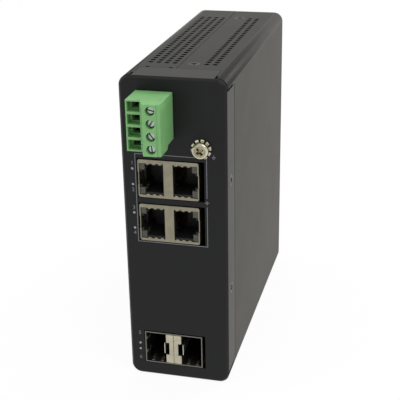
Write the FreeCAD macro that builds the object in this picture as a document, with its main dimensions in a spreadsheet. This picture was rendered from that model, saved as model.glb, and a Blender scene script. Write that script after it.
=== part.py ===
"""Media converter for a DIN rail: a folded steel case with two stacked jack modules, a stacked fibre cage,
a pluggable power terminal, an earth screw and a rail clip.

Millimetres, +Z up, front towards -Y. The origin is the centre of the case's bottom face.
"""
import FreeCAD, Part
import math
import os
import re

import Sketcher
from FreeCAD import Placement, Rotation, Vector

SIZES = (
    # folded case
    ("case_width", 43.6),
    ("case_depth", 126),
    ("case_height", 135),
    ("corner_radius", 4.3),
    ("gauge", 1.2),
    ("bend_bevel", 0.95),
    ("seam", 0.15),
    ("seam_offset", 1.7),
    ("side_seam", 0.45),
    ("flange_depth", 13.3),
    ("corner_gap", 1),
    ("relief_width", 0.9),
    ("relief_top", 5),
    ("relief_side", 10.4),
    ("lip_width", 9),
    ("tab_near", 4.9),
    ("tab_far", 13),
    ("tab_height", 66),
    ("tab_setback", 2),
    ("notch_width", 1.6),
    ("notch_length", 1.1),
    # vents in the top and bottom
    ("vent_hole", 2.3),
    ("vent_pitch", 3.5),
    ("vent_column_pitch", 3.42),
    ("vent_start", 21.5),
    ("vent_rows", 26),
    ("vent_left", 14.65),
    ("vent_left_columns", 4),
    ("vent_right", 8.85),
    ("vent_right_columns", 2),
    # countersunk screws of the case
    ("screw_diameter", 3.4),
    ("screw_fit", 0.1),
    ("sink_depth", 1.1),
    ("case_screw_length", 4.2),
    ("panel_screw_depth", 7.1),
    ("panel_screw_spread", 48.5),
    ("cover_screw_offset", 3.5),
    ("cover_screw_front", 21.3),
    ("cover_screw_rear", 110),
    # circuit board
    ("board_offset", 6.6),
    ("board_gauge", 1.6),
    ("board_front", 3.6),
    ("board_rear", 112),
    ("board_bottom", 4),
    ("board_top", 130.5),
    ("mount_gap", 0.1),
    ("standoff_front", 60),
    ("standoff_rear", 106),
    ("standoff_low", 10),
    ("standoff_high", 124),
    ("standoff_flats", 5.5),
    ("board_screw_head", 5.4),
    ("board_screw_rise", 1.8),
    # power terminal
    ("ways", 4),
    ("way_pitch", 5.08),
    ("plug_centre", 119.05),
    ("plug_height", 20.5),
    ("plug_left", 14.55),
    ("plug_width", 14.9),
    ("entry_face", 13.5),
    ("screw_face", 18.2),
    ("screw_block", 6.9),
    ("block_slope", 1.9),
    ("plug_gap", 0.3),
    ("plug_insert", 9.5),
    ("plug_shoulder", 1),
    ("entry_width", 5.1),
    ("entry_height", 4),
    ("entry_funnel", 4),
    ("throat_width", 3.6),
    ("throat_height", 3),
    ("entry_margin", 0.6),
    ("clamp_front", 7),
    ("clamp_rear", 3),
    ("clamp_height", 3.3),
    ("clamp_gauge", 0.6),
    ("clamp_fit", 0.1),
    ("screw_well", 3.7),
    ("screw_inset", 3.85),
    ("screw_sunk", 1.4),
    ("clamp_screw_head", 3.05),
    ("clamp_screw_rise", 2.2),
    ("clamp_screw_shank", 2.3),
    ("clamp_screw_slot", 0.7),
    ("rib_width", 1.5),
    ("rib_step", 0.35),
    ("foot_rise", 1.5),
    ("foot_length", 9),
    ("foot_depth", 2),
    ("header_wall", 1),
    ("header_fit", 0.3),
    ("header_back", 2.5),
    ("pin_size", 1),
    ("pin_reach", 7),
    ("pin_bend", 2),
    ("pin_tail", 1.2),
    ("socket_size", 2.4),
    ("socket_gauge", 0.4),
    ("socket_length", 8),
    ("socket_fit", 0.1),
    # stacked jack modules
    ("jack_width", 25.35),
    ("jack_height", 16.3),
    ("jack_low", 73.2),
    ("jack_pitch", 19.3),
    ("jack_depth", 21),
    ("jack_proud", 0.3),
    ("jack_corner", 0.9),
    ("shield_gauge", 0.4),
    ("jack_rim", 0.55),
    ("lamp_width", 2.3),
    ("lamp_height", 3),
    ("lamp_length", 6),
    ("lamp_fit", 0.1),
    ("port_width", 7.85),
    ("port_height", 11.9),
    ("port_reach", 12.5),
    ("window_height", 13.6),
    ("window_drop", 0.2),
    ("key_height", 7.4),
    ("key_slot", 5.3),
    ("key_step", 1.3),
    ("finger_width", 1.5),
    ("finger_pitch", 2.6),
    ("finger_rise", 0.5),
    ("contact_pitch", 1.02),
    ("contact_width", 0.46),
    ("contact_gauge", 0.35),
    ("contact_start", 2.5),
    ("contact_rise", 2.4),
    ("cutout_gap", 0.4),
    ("jack_side_gap", 2.2),
    # stacked fibre cage
    ("cage_width", 25.5),
    ("cage_height", 15.1),
    ("cage_bottom", 6.4),
    ("cage_depth", 50),
    ("cage_proud", 0.25),
    ("cage_gauge", 0.5),
    ("cage_port", 8.8),
    ("cage_side_gap", 1.3),
    ("plate_gauge", 0.4),
    ("plate_notch_width", 1.4),
    ("plate_notch_height", 5.8),
    ("latch_height", 5),
    ("latch_reach", 0.8),
    ("latch_length", 14),
    ("latch_gauge", 0.3),
    ("edge_socket_width", 5),
    ("edge_socket_height", 11),
    ("edge_socket_depth", 11),
    ("edge_slot", 1.4),
    ("edge_slot_height", 9.5),
    # earth screw
    ("earth_offset", 11.5),
    ("earth_height", 106.6),
    ("earth_head", 6.9),
    ("earth_rise", 2.6),
    ("earth_shank", 4),
    ("earth_length", 8),
    ("earth_slot", 1.1),
    ("earth_slot_length", 3.6),
    ("earth_slot_depth", 1.4),
    ("earth_dome", 0.9),
    ("washer_outer", 8.3),
    ("washer_root", 6.6),
    ("washer_gauge", 0.7),
    ("washer_teeth", 10),
    ("tooth_share", 0.72),
    ("nut_flats", 7),
    ("nut_height", 3.2),
    # lamps beside the ports
    ("pipe_offset", 17.4),
    ("pipe_diameter", 1.1),
    ("pipe_proud", 0.15),
    ("pipe_fit", 0.05),
    ("jack_pipe_rise", 0.5),
    ("jack_pipe_spread", 6.8),
    ("cage_pipe_spread", 2.9),
    ("diode_width", 1),
    ("diode_length", 2),
    ("diode_height", 1.6),
    # parts on the board
    ("chip_side", 16),
    ("chip_rise", 1.4),
    ("chip_depth", 52),
    ("chip_height", 76),
    ("sink_side", 22),
    ("sink_base", 2),
    ("sink_rise", 9),
    ("sink_fins", 6),
    ("sink_fin_gauge", 1.2),
    ("can_diameter", 10),
    ("can_rise", 16),
    ("can_depth", 40),
    ("can_pitch", 13),
    ("can_count", 3),
    ("can_height", 116),
    ("coil_side", 10),
    ("coil_rise", 5),
    ("coil_depth", 96),
    ("coil_pitch", 14),
    ("coil_count", 3),
    ("coil_height", 60),
    ("core_side", 17),
    ("core_rise", 14),
    ("core_depth", 62),
    ("core_pitch", 22),
    ("core_count", 2),
    ("core_height", 40),
    ("core_groove", 3),
    # clip for a 35 mm rail
    ("rail_height", 35),
    ("rail_centre", 67.5),
    ("rail_slot", 1.5),
    ("rail_fit", 0.3),
    ("bracket_width", 30),
    ("bracket_gauge", 4.4),
    ("bracket_rise", 24),
    ("bracket_drop", 30),
    ("hook_gauge", 2.4),
    ("hook_reach", 2.5),
    ("hook_height", 3.5),
    ("hook_slope", 1.2),
    ("hook_relief", 0.4),
    ("bracket_screw_spread", 22),
    ("bracket_screw_high", 10),
    ("bracket_screw_low", 22),
    ("bracket_screw_length", 8),
    ("slider_width", 14),
    ("slider_neck", 10),
    ("slider_gauge", 1.6),
    ("slider_floor", 0.8),
    ("slider_fit", 0.2),
    ("slider_tail", 10),
    ("slider_travel", 4),
    ("slider_arm", 4),
    ("spring_window", 4.4),
    ("spring_spare", 1.6),
    ("spring_turns", 4),
    ("spring_wire", 0.6),
    ("spring_fit", 0.1),
    ("post_height", 2),
    ("tool_slot_width", 6),
    ("tool_slot_height", 2),
)

PLANES = {"x": "YZ_Plane", "y": "XZ_Plane", "z": "XY_Plane"}
AXES = {"x": Vector(1, 0, 0), "y": Vector(0, 1, 0), "z": Vector(0, 0, 1)}
TOUCH = 1e-4
HOLE_SIDES = 6
ROUND_SIDES = 12
HEAD_SIDES = 16

doc = FreeCAD.newDocument("MediaConverter")
sheet = doc.addObject("Spreadsheet::Sheet", "Sizes")
for row, (alias, number) in enumerate(SIZES, 1):
    sheet.set(f"A{row}", alias)
    sheet.set(f"B{row}", str(number))
    sheet.setAlias(f"B{row}", alias)
doc.recompute()

nodes = {}


# expressions: every word in them is a cell of the sheet

def bound(text):
    """Turns the words of an expression into references to the sheet's cells."""
    return re.sub(r"[a-z]\w*", lambda word: f"Sizes.{word.group()}", text)


def bind(item, name, text):
    """Ties a property of an object to an expression."""
    item.setExpression(name, bound(text))


def value(text):
    """Present value of an expression."""
    return float(sheet.evalExpression(bound(text)))


def count(alias):
    """Whole number held by a cell."""
    return round(value(alias))


def span(middle, width):
    """Two levels at equal distances from a middle."""
    return f"({middle}) - ({width}) / 2", f"({middle}) + ({width}) / 2"


def behind(depth):
    """Level along Y at a depth behind the front panel's outer face."""
    return f"(({depth}) - case_depth / 2)"


def beyond(reach):
    """Level along Y at a reach behind the back wall's outer face."""
    return f"(({reach}) + case_depth / 2)"


LEFT = "(-case_width / 2)"
RIGHT = "(case_width / 2)"
TOP = "case_height"
SEAM = "(-seam_offset)"
BACK = beyond("0")
MIDDLE = "(case_height / 2)"
TONGUE = behind("gauge + corner_gap")
SHELL_FRONT = behind("flange_depth + seam")
WALL_FRONT = behind("flange_depth + side_seam")
FLANGE_X = "(case_width / 2 - corner_radius - relief_width)"
FLANGE_LOW = "(corner_radius + relief_width)"
FLANGE_HIGH = "(case_height - corner_radius - relief_width)"
BOARD_FACE = f"({LEFT} + board_offset)"
BOARD_REAR = f"({BOARD_FACE} - board_gauge)"
CONNECTOR = f"({BOARD_FACE} + mount_gap)"
JACKS = {"lower": "jack_low", "upper": "(jack_low + jack_pitch)"}
CAGE_MIDDLE = "(cage_bottom + cage_height / 2)"
SCREW_HOLE = "(screw_diameter + 2 * screw_fit)"
THREAD_HOLE = "(screw_diameter * 1.1547 + 2 * screw_fit)"
RAIL_LOW = "(rail_centre - rail_height / 2)"
RAIL_HIGH = "(rail_centre + rail_height / 2)"


# outlines drawn in sketches

def rect(u, v):
    """Corners of a rectangle between two pairs of levels."""
    return [(u[0], v[0]), (u[1], v[0]), (u[1], v[1]), (u[0], v[1])]


def ring(u, v, across, sides=ROUND_SIDES):
    """Corners of a regular polygon that stands for a small circle, from its size across corners."""
    turns = [math.tau * step / sides for step in range(sides)]
    return [
        (f"({u}) + {math.cos(turn):.6f} * ({across}) / 2", f"({v}) + {math.sin(turn):.6f} * ({across}) / 2")
        for turn in turns
    ]


def hexagon(u, v, across):
    """Corners of a hexagon that points along the first axis, from its size across corners."""
    return ring(u, v, across, HOLE_SIDES)


def pin(drawing, geometry, point, u, v):
    """Ties a point of a sketch to two expressions."""
    for kind, text in (("DistanceX", u), ("DistanceY", v)):
        rule = Sketcher.Constraint(kind, -1, 1, geometry, point, value(text))
        bind(drawing, f"Constraints[{drawing.addConstraint(rule)}]", text)


def draw(drawing, shape):
    """Draws a closed outline, fully tied to the sheet."""
    first = drawing.GeometryCount
    points = [Vector(value(u), value(v), 0) for u, v in shape]
    total = len(points)
    for step in range(total):
        drawing.addGeometry(Part.LineSegment(points[step], points[(step + 1) % total]), False)
    for step in range(total):
        following = first + (step + 1) % total
        drawing.addConstraint(Sketcher.Constraint("Coincident", first + step, 2, following, 1))
    for step, (u, v) in enumerate(shape):
        pin(drawing, first + step, 1, u, v)


# choice of edges to round

def parallel(axis, **places):
    """Test for straight edges along an axis that pass through given levels."""
    levels = {name: [value(text) for text in texts] for name, texts in places.items()}

    def chosen(edge):
        if not isinstance(edge.Curve, Part.Line):
            return False
        if abs(abs(edge.tangentAt(edge.FirstParameter).dot(AXES[axis])) - 1) > TOUCH:
            return False
        point = edge.CenterOfMass
        return all(
            any(abs(getattr(point, name) - level) < TOUCH for level in wanted)
            for name, wanted in levels.items()
        )

    return chosen


def around(axis, level, u, v, across):
    """Test for the edges of a ring that lies at a level of an axis."""
    first, second = (letter for letter in "xyz" if letter != axis)
    reach = value(across) / 2

    def chosen(edge):
        points = [vertex.Point for vertex in edge.Vertexes]
        return all(
            abs(getattr(point, axis) - value(level)) < TOUCH
            and math.hypot(getattr(point, first) - value(u), getattr(point, second) - value(v)) < reach + TOUCH
            for point in points
        )

    return chosen


class Piece:
    """A body grown from sketches whose corners all follow the sheet."""

    def __init__(self, name):
        self.name = name
        self.body = doc.addObject("PartDesign::Body", name)
        self.body.Label = name

    def sketch(self, axis, level, shapes):
        """Makes a sketch across an axis, at a level along it."""
        drawing = self.body.newObject("Sketcher::SketchObject", f"{self.name}_sketch")
        plane = next(item for item in self.body.Origin.OriginFeatures if item.Role == PLANES[axis])
        drawing.AttachmentSupport = [(plane, "")]
        drawing.MapMode = "FlatFace"
        bind(drawing, "AttachmentOffset.Base.z", f"-1 * ({level})" if axis == "y" else level)
        for shape in shapes:
            draw(drawing, shape)
        return drawing

    def grow(self, kind, drawing, levels):
        """Adds a pad or pocket between two levels."""
        feature = self.body.newObject(f"PartDesign::{kind}", f"{self.name}_{kind.lower()}")
        feature.Profile = drawing
        bind(feature, "Length", f"({levels[1]}) - ({levels[0]})")
        return feature

    def pad(self, axis, levels, *shapes):
        """Adds material between two levels of an axis."""
        start = levels[1] if axis == "y" else levels[0]
        return self.grow("Pad", self.sketch(axis, start, shapes), levels)

    def pocket(self, axis, levels, *shapes):
        """Takes material away between two levels of an axis."""
        doc.recompute()
        before = self.body.Shape.Volume
        start = levels[0] if axis == "y" else levels[1]
        feature = self.grow("Pocket", self.sketch(axis, start, shapes), levels)
        doc.recompute()
        if not self.body.Shape.Volume < before - TOUCH:
            raise ValueError(f"a pocket of {self.name} cuts nothing")
        return feature

    def dress(self, kind, name, size, tests):
        """Rounds or chamfers the edges of the body that pass one of the tests."""
        doc.recompute()
        tip = self.body.Tip
        names = [
            f"Edge{number}"
            for number, edge in enumerate(tip.Shape.Edges, 1)
            if any(test(edge) for test in tests)
        ]
        feature = self.body.newObject(f"PartDesign::{kind}", f"{self.name}_{kind.lower()}")
        feature.Base = (tip, names)
        bind(feature, name, size)

    def round(self, radius, *tests):
        """Rounds the chosen edges."""
        self.dress("Fillet", "Radius", radius, tests)

    def bevel(self, size, *tests):
        """Chamfers the chosen edges."""
        self.dress("Chamfer", "Size", size, tests)

    def countersink(self, axis, levels, face, places):
        """Drills screw holes between two levels and sinks them from a face."""
        self.pocket(axis, levels, *(ring(u, v, SCREW_HOLE) for u, v in places))
        self.bevel("sink_depth", *(around(axis, face, u, v, SCREW_HOLE) for u, v in places))

    def grid(self, cut, rows, row_pitch, columns, column_pitch):
        """Repeats a cut along the two axes of its sketch."""
        drawing = cut.Profile[0]
        pattern = self.body.newObject("PartDesign::LinearPattern", f"{self.name}_grid")
        pattern.Originals = [cut]
        pattern.Direction = (drawing, ["V_Axis"])
        pattern.Direction2 = (drawing, ["H_Axis"])
        for suffix, number, pitch in (("", rows, row_pitch), ("2", columns, column_pitch)):
            bind(pattern, f"Occurrences{suffix}", number)
            bind(pattern, f"Length{suffix}", f"({pitch}) * ({number} - 1)")
        pattern.Refine = False
        self.body.Tip = pattern

    def keep(self):
        """Registers the body as a sub-part."""
        nodes[self.name] = self.body
        return self


def group(name, *copies):
    """Sub-part of equal solids: copies of models, each at a place and turned about an axis."""
    links = []
    for model, place, axis, angle in copies:
        link = doc.addObject("App::Link", f"{name}_{len(links)}")
        link.LinkedObject = model.body
        link.Placement = Placement(Vector(), Rotation(AXES[axis], angle))
        for letter, text in zip("xyz", place):
            bind(link, f"Placement.Base.{letter}", text)
        links.append(link)
    whole = doc.addObject("Part::Compound", name)
    whole.Label = name
    whole.Links = links
    nodes[name] = whole


# folded case

def panel_screw_heights():
    """Heights of the screws in the front panel's side flanges."""
    return span(MIDDLE, "panel_screw_spread")


def make_front_panel():
    """Tray of one sheet: the face, four flanges that stop short of its corners, and its cut-outs."""
    panel = Piece("front_panel").keep()
    face = (behind("0"), behind("gauge"))
    flange = (behind("0"), behind("flange_depth"))
    across = (f"-{FLANGE_X}", FLANGE_X)
    upright = (FLANGE_LOW, FLANGE_HIGH)
    panel.pad("y", face, rect((LEFT, RIGHT), ("0", TOP)))
    panel.round("corner_radius", parallel("y", x=(LEFT, RIGHT), z=("0", TOP)))
    for levels in (("0", "gauge"), (f"{TOP} - gauge", TOP)):
        panel.pad("z", levels, rect(across, flange))
    for levels in ((LEFT, f"{LEFT} + gauge"), (f"{RIGHT} - gauge", RIGHT)):
        panel.pad("x", levels, rect(flange, upright))
    panel.bevel(
        "bend_bevel",
        parallel("x", y=(behind("0"),), z=("0", TOP)),
        parallel("z", y=(behind("0"),), x=(LEFT, RIGHT)),
    )
    openings = [
        rect(
            (f"{CONNECTOR} - cutout_gap", f"{CONNECTOR} + cage_width + cage_side_gap"),
            ("cage_bottom - cutout_gap", "cage_bottom + cage_height + cutout_gap"),
        ),
        rect(
            (f"{plug_side(0)} - cutout_gap", f"{plug_side(1)} + cutout_gap"),
            (f"{plug_level(0)} - cutout_gap", f"{plug_level(1)} + cutout_gap"),
        ),
        ring("earth_offset", "earth_height", "earth_shank + 2 * screw_fit"),
    ]
    for middle in JACKS.values():
        sides = (f"{CONNECTOR} - cutout_gap", f"{CONNECTOR} + jack_width + jack_side_gap")
        openings.append(rect(sides, span(middle, "jack_height + 2 * cutout_gap")))
    for place in pipe_places():
        openings.append(hexagon("-pipe_offset", place, "pipe_diameter + 2 * pipe_fit"))
    panel.pocket("y", face, *openings)
    holes = [(behind("panel_screw_depth"), height) for height in panel_screw_heights()]
    panel.countersink("x", (f"{RIGHT} - gauge", RIGHT), RIGHT, holes)
    panel.countersink("x", (LEFT, f"{LEFT} + gauge"), LEFT, holes)


def front_gap(side):
    """Outline, from above, of the room that the front panel's top flange needs in a strip of the case."""
    edge = f"{side} * ({FLANGE_X} + seam)"
    corner = f"{side} * ({FLANGE_X} + relief_width)"
    inner = f"{SEAM} - {side} * 2 * gauge"
    return [
        (inner, TONGUE),
        (corner, TONGUE),
        (corner, behind("relief_top")),
        (edge, behind("relief_top")),
        (edge, SHELL_FRONT),
        (inner, SHELL_FRONT),
    ]


def side_gap():
    """Outline, from the side, of the room that the front panel's side flange needs in a wall of the case."""
    low = "corner_radius"
    high = f"{TOP} - corner_radius"
    return [
        (TONGUE, low),
        (behind("relief_side"), low),
        (behind("relief_side"), f"{FLANGE_LOW} - seam"),
        (WALL_FRONT, f"{FLANGE_LOW} - seam"),
        (WALL_FRONT, f"{FLANGE_HIGH} + seam"),
        (behind("relief_side"), f"{FLANGE_HIGH} + seam"),
        (behind("relief_side"), high),
        (TONGUE, high),
    ]


def add_side_tab(shell, wall, inward):
    """Tab that steps inwards behind the front panel's side flange and takes its screws."""
    outer = f"{wall} + {inward} * (gauge + seam)"
    inner = f"{wall} + {inward} * (2 * gauge + seam)"
    root = f"{wall} + {inward} * gauge"
    outline = [
        (outer, behind("tab_setback")),
        (inner, behind("tab_setback")),
        (inner, f"{WALL_FRONT} + 2 * gauge"),
        (root, f"{WALL_FRONT} + 2 * gauge"),
        (root, WALL_FRONT),
        (outer, WALL_FRONT),
    ]
    shell.pad("z", span(MIDDLE, "tab_height"), outline)
    levels = (outer, inner) if inward > 0 else (inner, outer)
    holes = [
        hexagon(behind("panel_screw_depth"), height, THREAD_HOLE)
        for height in panel_screw_heights()
    ]
    shell.pocket("x", levels, *holes)


def add_vents(shell, first, columns):
    """Rows of vents in the top, and at twice their pitch in the bottom."""
    hole = hexagon(first, behind("vent_start"), "vent_hole")
    above = shell.pocket("z", (f"{TOP} - gauge", TOP), hole)
    shell.grid(above, "vent_rows", "vent_pitch", columns, "vent_column_pitch")
    below = shell.pocket("z", ("0", "gauge"), hole)
    shell.grid(below, "vent_rows / 2", "2 * vent_pitch", f"{columns} / 2", "2 * vent_column_pitch")


def cover_screw_places():
    """Places, from above, of the screws that hold the side cover."""
    return [("cover_screw_offset", behind(depth)) for depth in ("cover_screw_front", "cover_screw_rear")]


def bracket_screw_places():
    """Places, from behind, of the screws that hold the rail bracket."""
    return [
        (x, z)
        for x in span("0", "bracket_screw_spread")
        for z in ("rail_centre + bracket_screw_high", "rail_centre - bracket_screw_low")
    ]


def make_chassis():
    """Left wall, left strips of the top and bottom, and the back wall, folded from one sheet."""
    shell = Piece("chassis").keep()
    shell.pad("y", (TONGUE, BACK), rect((LEFT, SEAM), ("0", TOP)))
    shell.pocket(
        "y", (TONGUE, f"{BACK} - gauge"), rect((f"{LEFT} + gauge", f"{SEAM} + gauge"), ("gauge", f"{TOP} - gauge"))
    )
    shell.round("corner_radius - gauge", parallel("y", x=(f"{LEFT} + gauge",), z=("gauge", f"{TOP} - gauge")))
    shell.round("corner_radius", parallel("y", x=(LEFT,), z=("0", TOP)))
    shell.pad(
        "y",
        (f"{BACK} - gauge", BACK),
        rect((f"{SEAM} - gauge", f"{RIGHT} - gauge - seam"), ("gauge + seam", f"{TOP} - gauge - seam")),
    )
    shell.round(
        "corner_radius - gauge - seam",
        parallel("y", x=(f"{RIGHT} - gauge - seam",), z=("gauge + seam", f"{TOP} - gauge - seam")),
    )
    shell.pocket("z", ("0", TOP), front_gap("-1"))
    shell.pocket("x", (LEFT, f"{LEFT} + gauge"), side_gap())
    # lips that step under the cover's strips and take its screws
    for base, inward in (("0", "1"), (TOP, "-1")):
        root = f"{base} + {inward} * gauge"
        upper = f"{base} + {inward} * (gauge + seam)"
        under = f"{base} + {inward} * (2 * gauge + seam)"
        outline = [
            (f"{SEAM} - gauge", root),
            (SEAM, root),
            (SEAM, upper),
            (f"{SEAM} + lip_width", upper),
            (f"{SEAM} + lip_width", under),
            (f"{SEAM} - gauge", under),
        ]
        shell.pad("y", (SHELL_FRONT, f"{BACK} - gauge"), outline)
        # tab that steps under the front panel's flange, between two notches of the strip
        step = [
            (behind("tab_setback"), upper),
            (SHELL_FRONT, upper),
            (SHELL_FRONT, root),
            (f"{SHELL_FRONT} + 2 * gauge", root),
            (f"{SHELL_FRONT} + 2 * gauge", under),
            (behind("tab_setback"), under),
        ]
        shell.pad("x", ("-tab_far", "-tab_near"), step)
    notches = [
        rect((low, high), (SHELL_FRONT, f"{SHELL_FRONT} + notch_length"))
        for low, high in (("-tab_far - notch_width", "-tab_far"), ("-tab_near", "-tab_near + notch_width"))
    ]
    shell.pocket("z", ("0", TOP), *notches)
    add_side_tab(shell, LEFT, 1)
    holes = [hexagon(x, y, THREAD_HOLE) for x, y in cover_screw_places()]
    shell.pocket("z", ("0", TOP), *holes)
    holes = [hexagon(x, z, THREAD_HOLE) for x, z in bracket_screw_places()]
    shell.pocket("y", (f"{BACK} - gauge", BACK), *holes)
    add_vents(shell, "-vent_left", "vent_left_columns")


def make_side_cover():
    """Right wall with the right strips of the top and bottom, folded from one sheet."""
    shell = Piece("side_cover").keep()
    edge = f"{SEAM} + seam"
    shell.pad("y", (TONGUE, BACK), rect((edge, RIGHT), ("0", TOP)))
    shell.pocket(
        "y", (TONGUE, BACK), rect((f"{SEAM} - gauge", f"{RIGHT} - gauge"), ("gauge", f"{TOP} - gauge"))
    )
    shell.round("corner_radius - gauge", parallel("y", x=(f"{RIGHT} - gauge",), z=("gauge", f"{TOP} - gauge")))
    shell.round("corner_radius", parallel("y", x=(RIGHT,), z=("0", TOP)))
    shell.pocket("z", ("0", TOP), front_gap("1"))
    shell.pocket("x", (f"{RIGHT} - gauge", RIGHT), side_gap())
    add_side_tab(shell, RIGHT, -1)
    shell.countersink("z", (f"{TOP} - gauge", TOP), TOP, cover_screw_places())
    shell.countersink("z", ("0", "gauge"), "0", cover_screw_places())
    add_vents(shell, "vent_right", "vent_right_columns")


def countersunk_screw(name, length):
    """Screw along Z with its head's top at the origin."""
    screw = Piece(name)
    screw.pad("z", ("-sink_depth", "0"), ring("0", "0", "screw_diameter + 2 * sink_depth"))
    screw.bevel("sink_depth - screw_fit", around("z", "-sink_depth", "0", "0", "screw_diameter + 2 * sink_depth"))
    screw.pad("z", (f"-({length})", "-sink_depth"), hexagon("0", "0", "screw_diameter"))
    return screw


def make_case_screws():
    """Countersunk screws of the cover and of the front panel's side flanges."""
    model = countersunk_screw("case_screw", "case_screw_length")
    cover = []
    for x, y in cover_screw_places():
        cover.append((model, (x, y, TOP), "x", 0))
        cover.append((model, (x, y, "0"), "x", 180))
    group("cover_screws", *cover)
    panel = []
    for height in panel_screw_heights():
        panel.append((model, (RIGHT, behind("panel_screw_depth"), height), "y", 90))
        panel.append((model, (LEFT, behind("panel_screw_depth"), height), "y", -90))
    group("panel_screws", *panel)


# power terminal

def way_heights():
    """Heights of the terminal's ways."""
    return [f"(plug_centre + way_pitch * ({way} - (ways - 1) / 2))" for way in range(count("ways"))]


def plug_side(side):
    """Left (0) or right (1) side of the plug's insert."""
    return ("(-plug_left + plug_shoulder)", "(-plug_left + plug_width - plug_shoulder)")[side]


def plug_level(side):
    """Lower (0) or upper (1) side of the plug's insert."""
    low, high = span("plug_centre", "plug_height - 2 * plug_shoulder")
    return (f"({low})", f"({high})")[side]


ENTRY_LEFT = "(-plug_left + entry_margin)"
ENTRY_MIDDLE = "(-plug_left + entry_margin + entry_width / 2)"
PLUG_RIGHT = "(-plug_left + plug_width)"
CLAMP_SCREW = f"({PLUG_RIGHT} - screw_inset)"
PIN_X = f"(({plug_side(0)} + {plug_side(1)}) / 2)"
HEADER_END = behind("plug_insert + header_fit + header_back")


def make_terminal_plug():
    """Moulded plug: wire funnels on the left, a raised screw block on the right, an insert at the rear."""
    plug = Piece("terminal_plug").keep()
    height = span("plug_centre", "plug_height")
    rear = behind("-plug_gap")
    block = f"{PLUG_RIGHT} - screw_block"
    outline = [
        ("-plug_left", rear),
        ("-plug_left", behind("-entry_face")),
        (f"{block} - block_slope", behind("-entry_face")),
        (block, behind("-screw_face")),
        (PLUG_RIGHT, behind("-screw_face")),
        (PLUG_RIGHT, rear),
    ]
    plug.pad("z", height, outline)
    insert = rect((plug_side(0), plug_side(1)), (plug_level(0), plug_level(1)))
    plug.pad("y", (rear, behind("plug_insert")), insert)
    ways = way_heights()
    entry = (ENTRY_LEFT, f"{ENTRY_LEFT} + entry_width")
    mouth = behind("-entry_face")
    funnel = behind("entry_funnel - entry_face")
    plug.pocket("y", (mouth, funnel), *(rect(entry, span(way, "entry_height")) for way in ways))
    throat = span(ENTRY_MIDDLE, "throat_width")
    cavity = behind("-clamp_front")
    plug.pocket("y", (funnel, cavity), *(rect(throat, span(way, "throat_height")) for way in ways))
    shoulder = behind("screw_sunk + clamp_screw_rise - screw_face")
    wells = [ring(CLAMP_SCREW, way, "screw_well", HEAD_SIDES) for way in ways]
    plug.pocket("y", (behind("-screw_face"), shoulder), *wells)
    bores = [hexagon(CLAMP_SCREW, way, "clamp_screw_shank * 1.1547 + 2 * screw_fit") for way in ways]
    plug.pocket("y", (shoulder, cavity), *bores)
    # chambers of the clamps, and of the sockets that open to the rear
    chamber = (f"{throat[0]} - clamp_fit", f"{CLAMP_SCREW} + clamp_screw_shank / 2 + clamp_gauge + 2 * clamp_fit")
    for way in ways:
        plug.pocket("z", span(way, "clamp_height"), rect(chamber, (cavity, behind("-clamp_rear"))))
    sockets = [
        rect(span(PIN_X, "socket_size + 2 * socket_fit"), span(way, "socket_size + 2 * socket_fit"))
        for way in ways
    ]
    plug.pocket("y", (behind("-clamp_rear"), behind("plug_insert")), *sockets)
    # stepped border of the screw face and the cut-away foot behind it
    border = rect((f"{PLUG_RIGHT} - rib_width", PLUG_RIGHT), height)
    plug.pocket("y", (behind("-screw_face"), behind("rib_step - screw_face")), border)
    foot = [
        (f"{rear} - foot_length", height[0]),
        (rear, height[0]),
        (rear, f"{height[0]} + foot_rise"),
        (f"{rear} - foot_length + foot_rise", f"{height[0]} + foot_rise"),
    ]
    plug.pocket("x", (f"{PLUG_RIGHT} - foot_depth", PLUG_RIGHT), foot)


def make_plug_metal():
    """Clamp screws, wire clamps and pin sockets of the plug."""
    screw = Piece("clamp_screw")
    reach = "screw_face - screw_sunk - clamp_rear - clamp_gauge - 2 * clamp_fit"
    screw.pad("z", ("-clamp_screw_rise", "0"), ring("0", "0", "clamp_screw_head", HEAD_SIDES))
    screw.pad("z", (f"-({reach})", "-clamp_screw_rise"), hexagon("0", "0", "clamp_screw_shank"))
    slot = rect(span("0", "clamp_screw_slot"), span("0", "clamp_screw_head + screw_fit"))
    screw.pocket("z", ("-clamp_screw_rise / 2", "0"), slot)
    ways = way_heights()
    face = behind("screw_sunk - screw_face")
    group("clamp_screws", *((screw, (CLAMP_SCREW, face, way), "x", 90) for way in ways))

    clamp = Piece("wire_clamp")
    low = f"{ENTRY_MIDDLE} - throat_width / 2"
    high = f"{CLAMP_SCREW} + clamp_screw_shank / 2 + clamp_gauge + clamp_fit"
    depth = (behind("-clamp_front + clamp_fit"), behind("-clamp_rear - clamp_fit"))
    strap = [
        (low, depth[0]),
        (f"{low} + clamp_gauge", depth[0]),
        (f"{low} + clamp_gauge", f"{depth[1]} - clamp_gauge"),
        (f"{high} - clamp_gauge", f"{depth[1]} - clamp_gauge"),
        (f"{high} - clamp_gauge", depth[0]),
        (high, depth[0]),
        (high, depth[1]),
        (low, depth[1]),
    ]
    clamp.pad("z", span("0", "clamp_height - 2 * clamp_fit"), strap)
    group("wire_clamps", *((clamp, ("0", "0", way), "z", 0) for way in ways))

    socket = Piece("pin_socket")
    outer = rect(span(PIN_X, "socket_size"), span("0", "socket_size"))
    inner = rect(span(PIN_X, "socket_size - 2 * socket_gauge"), span("0", "socket_size - 2 * socket_gauge"))
    length = (behind("plug_insert - socket_length"), behind("plug_insert"))
    socket.pad("y", length, outer)
    socket.pocket("y", length, inner)
    group("pin_sockets", *((socket, ("0", "0", way), "z", 0) for way in ways))


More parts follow.
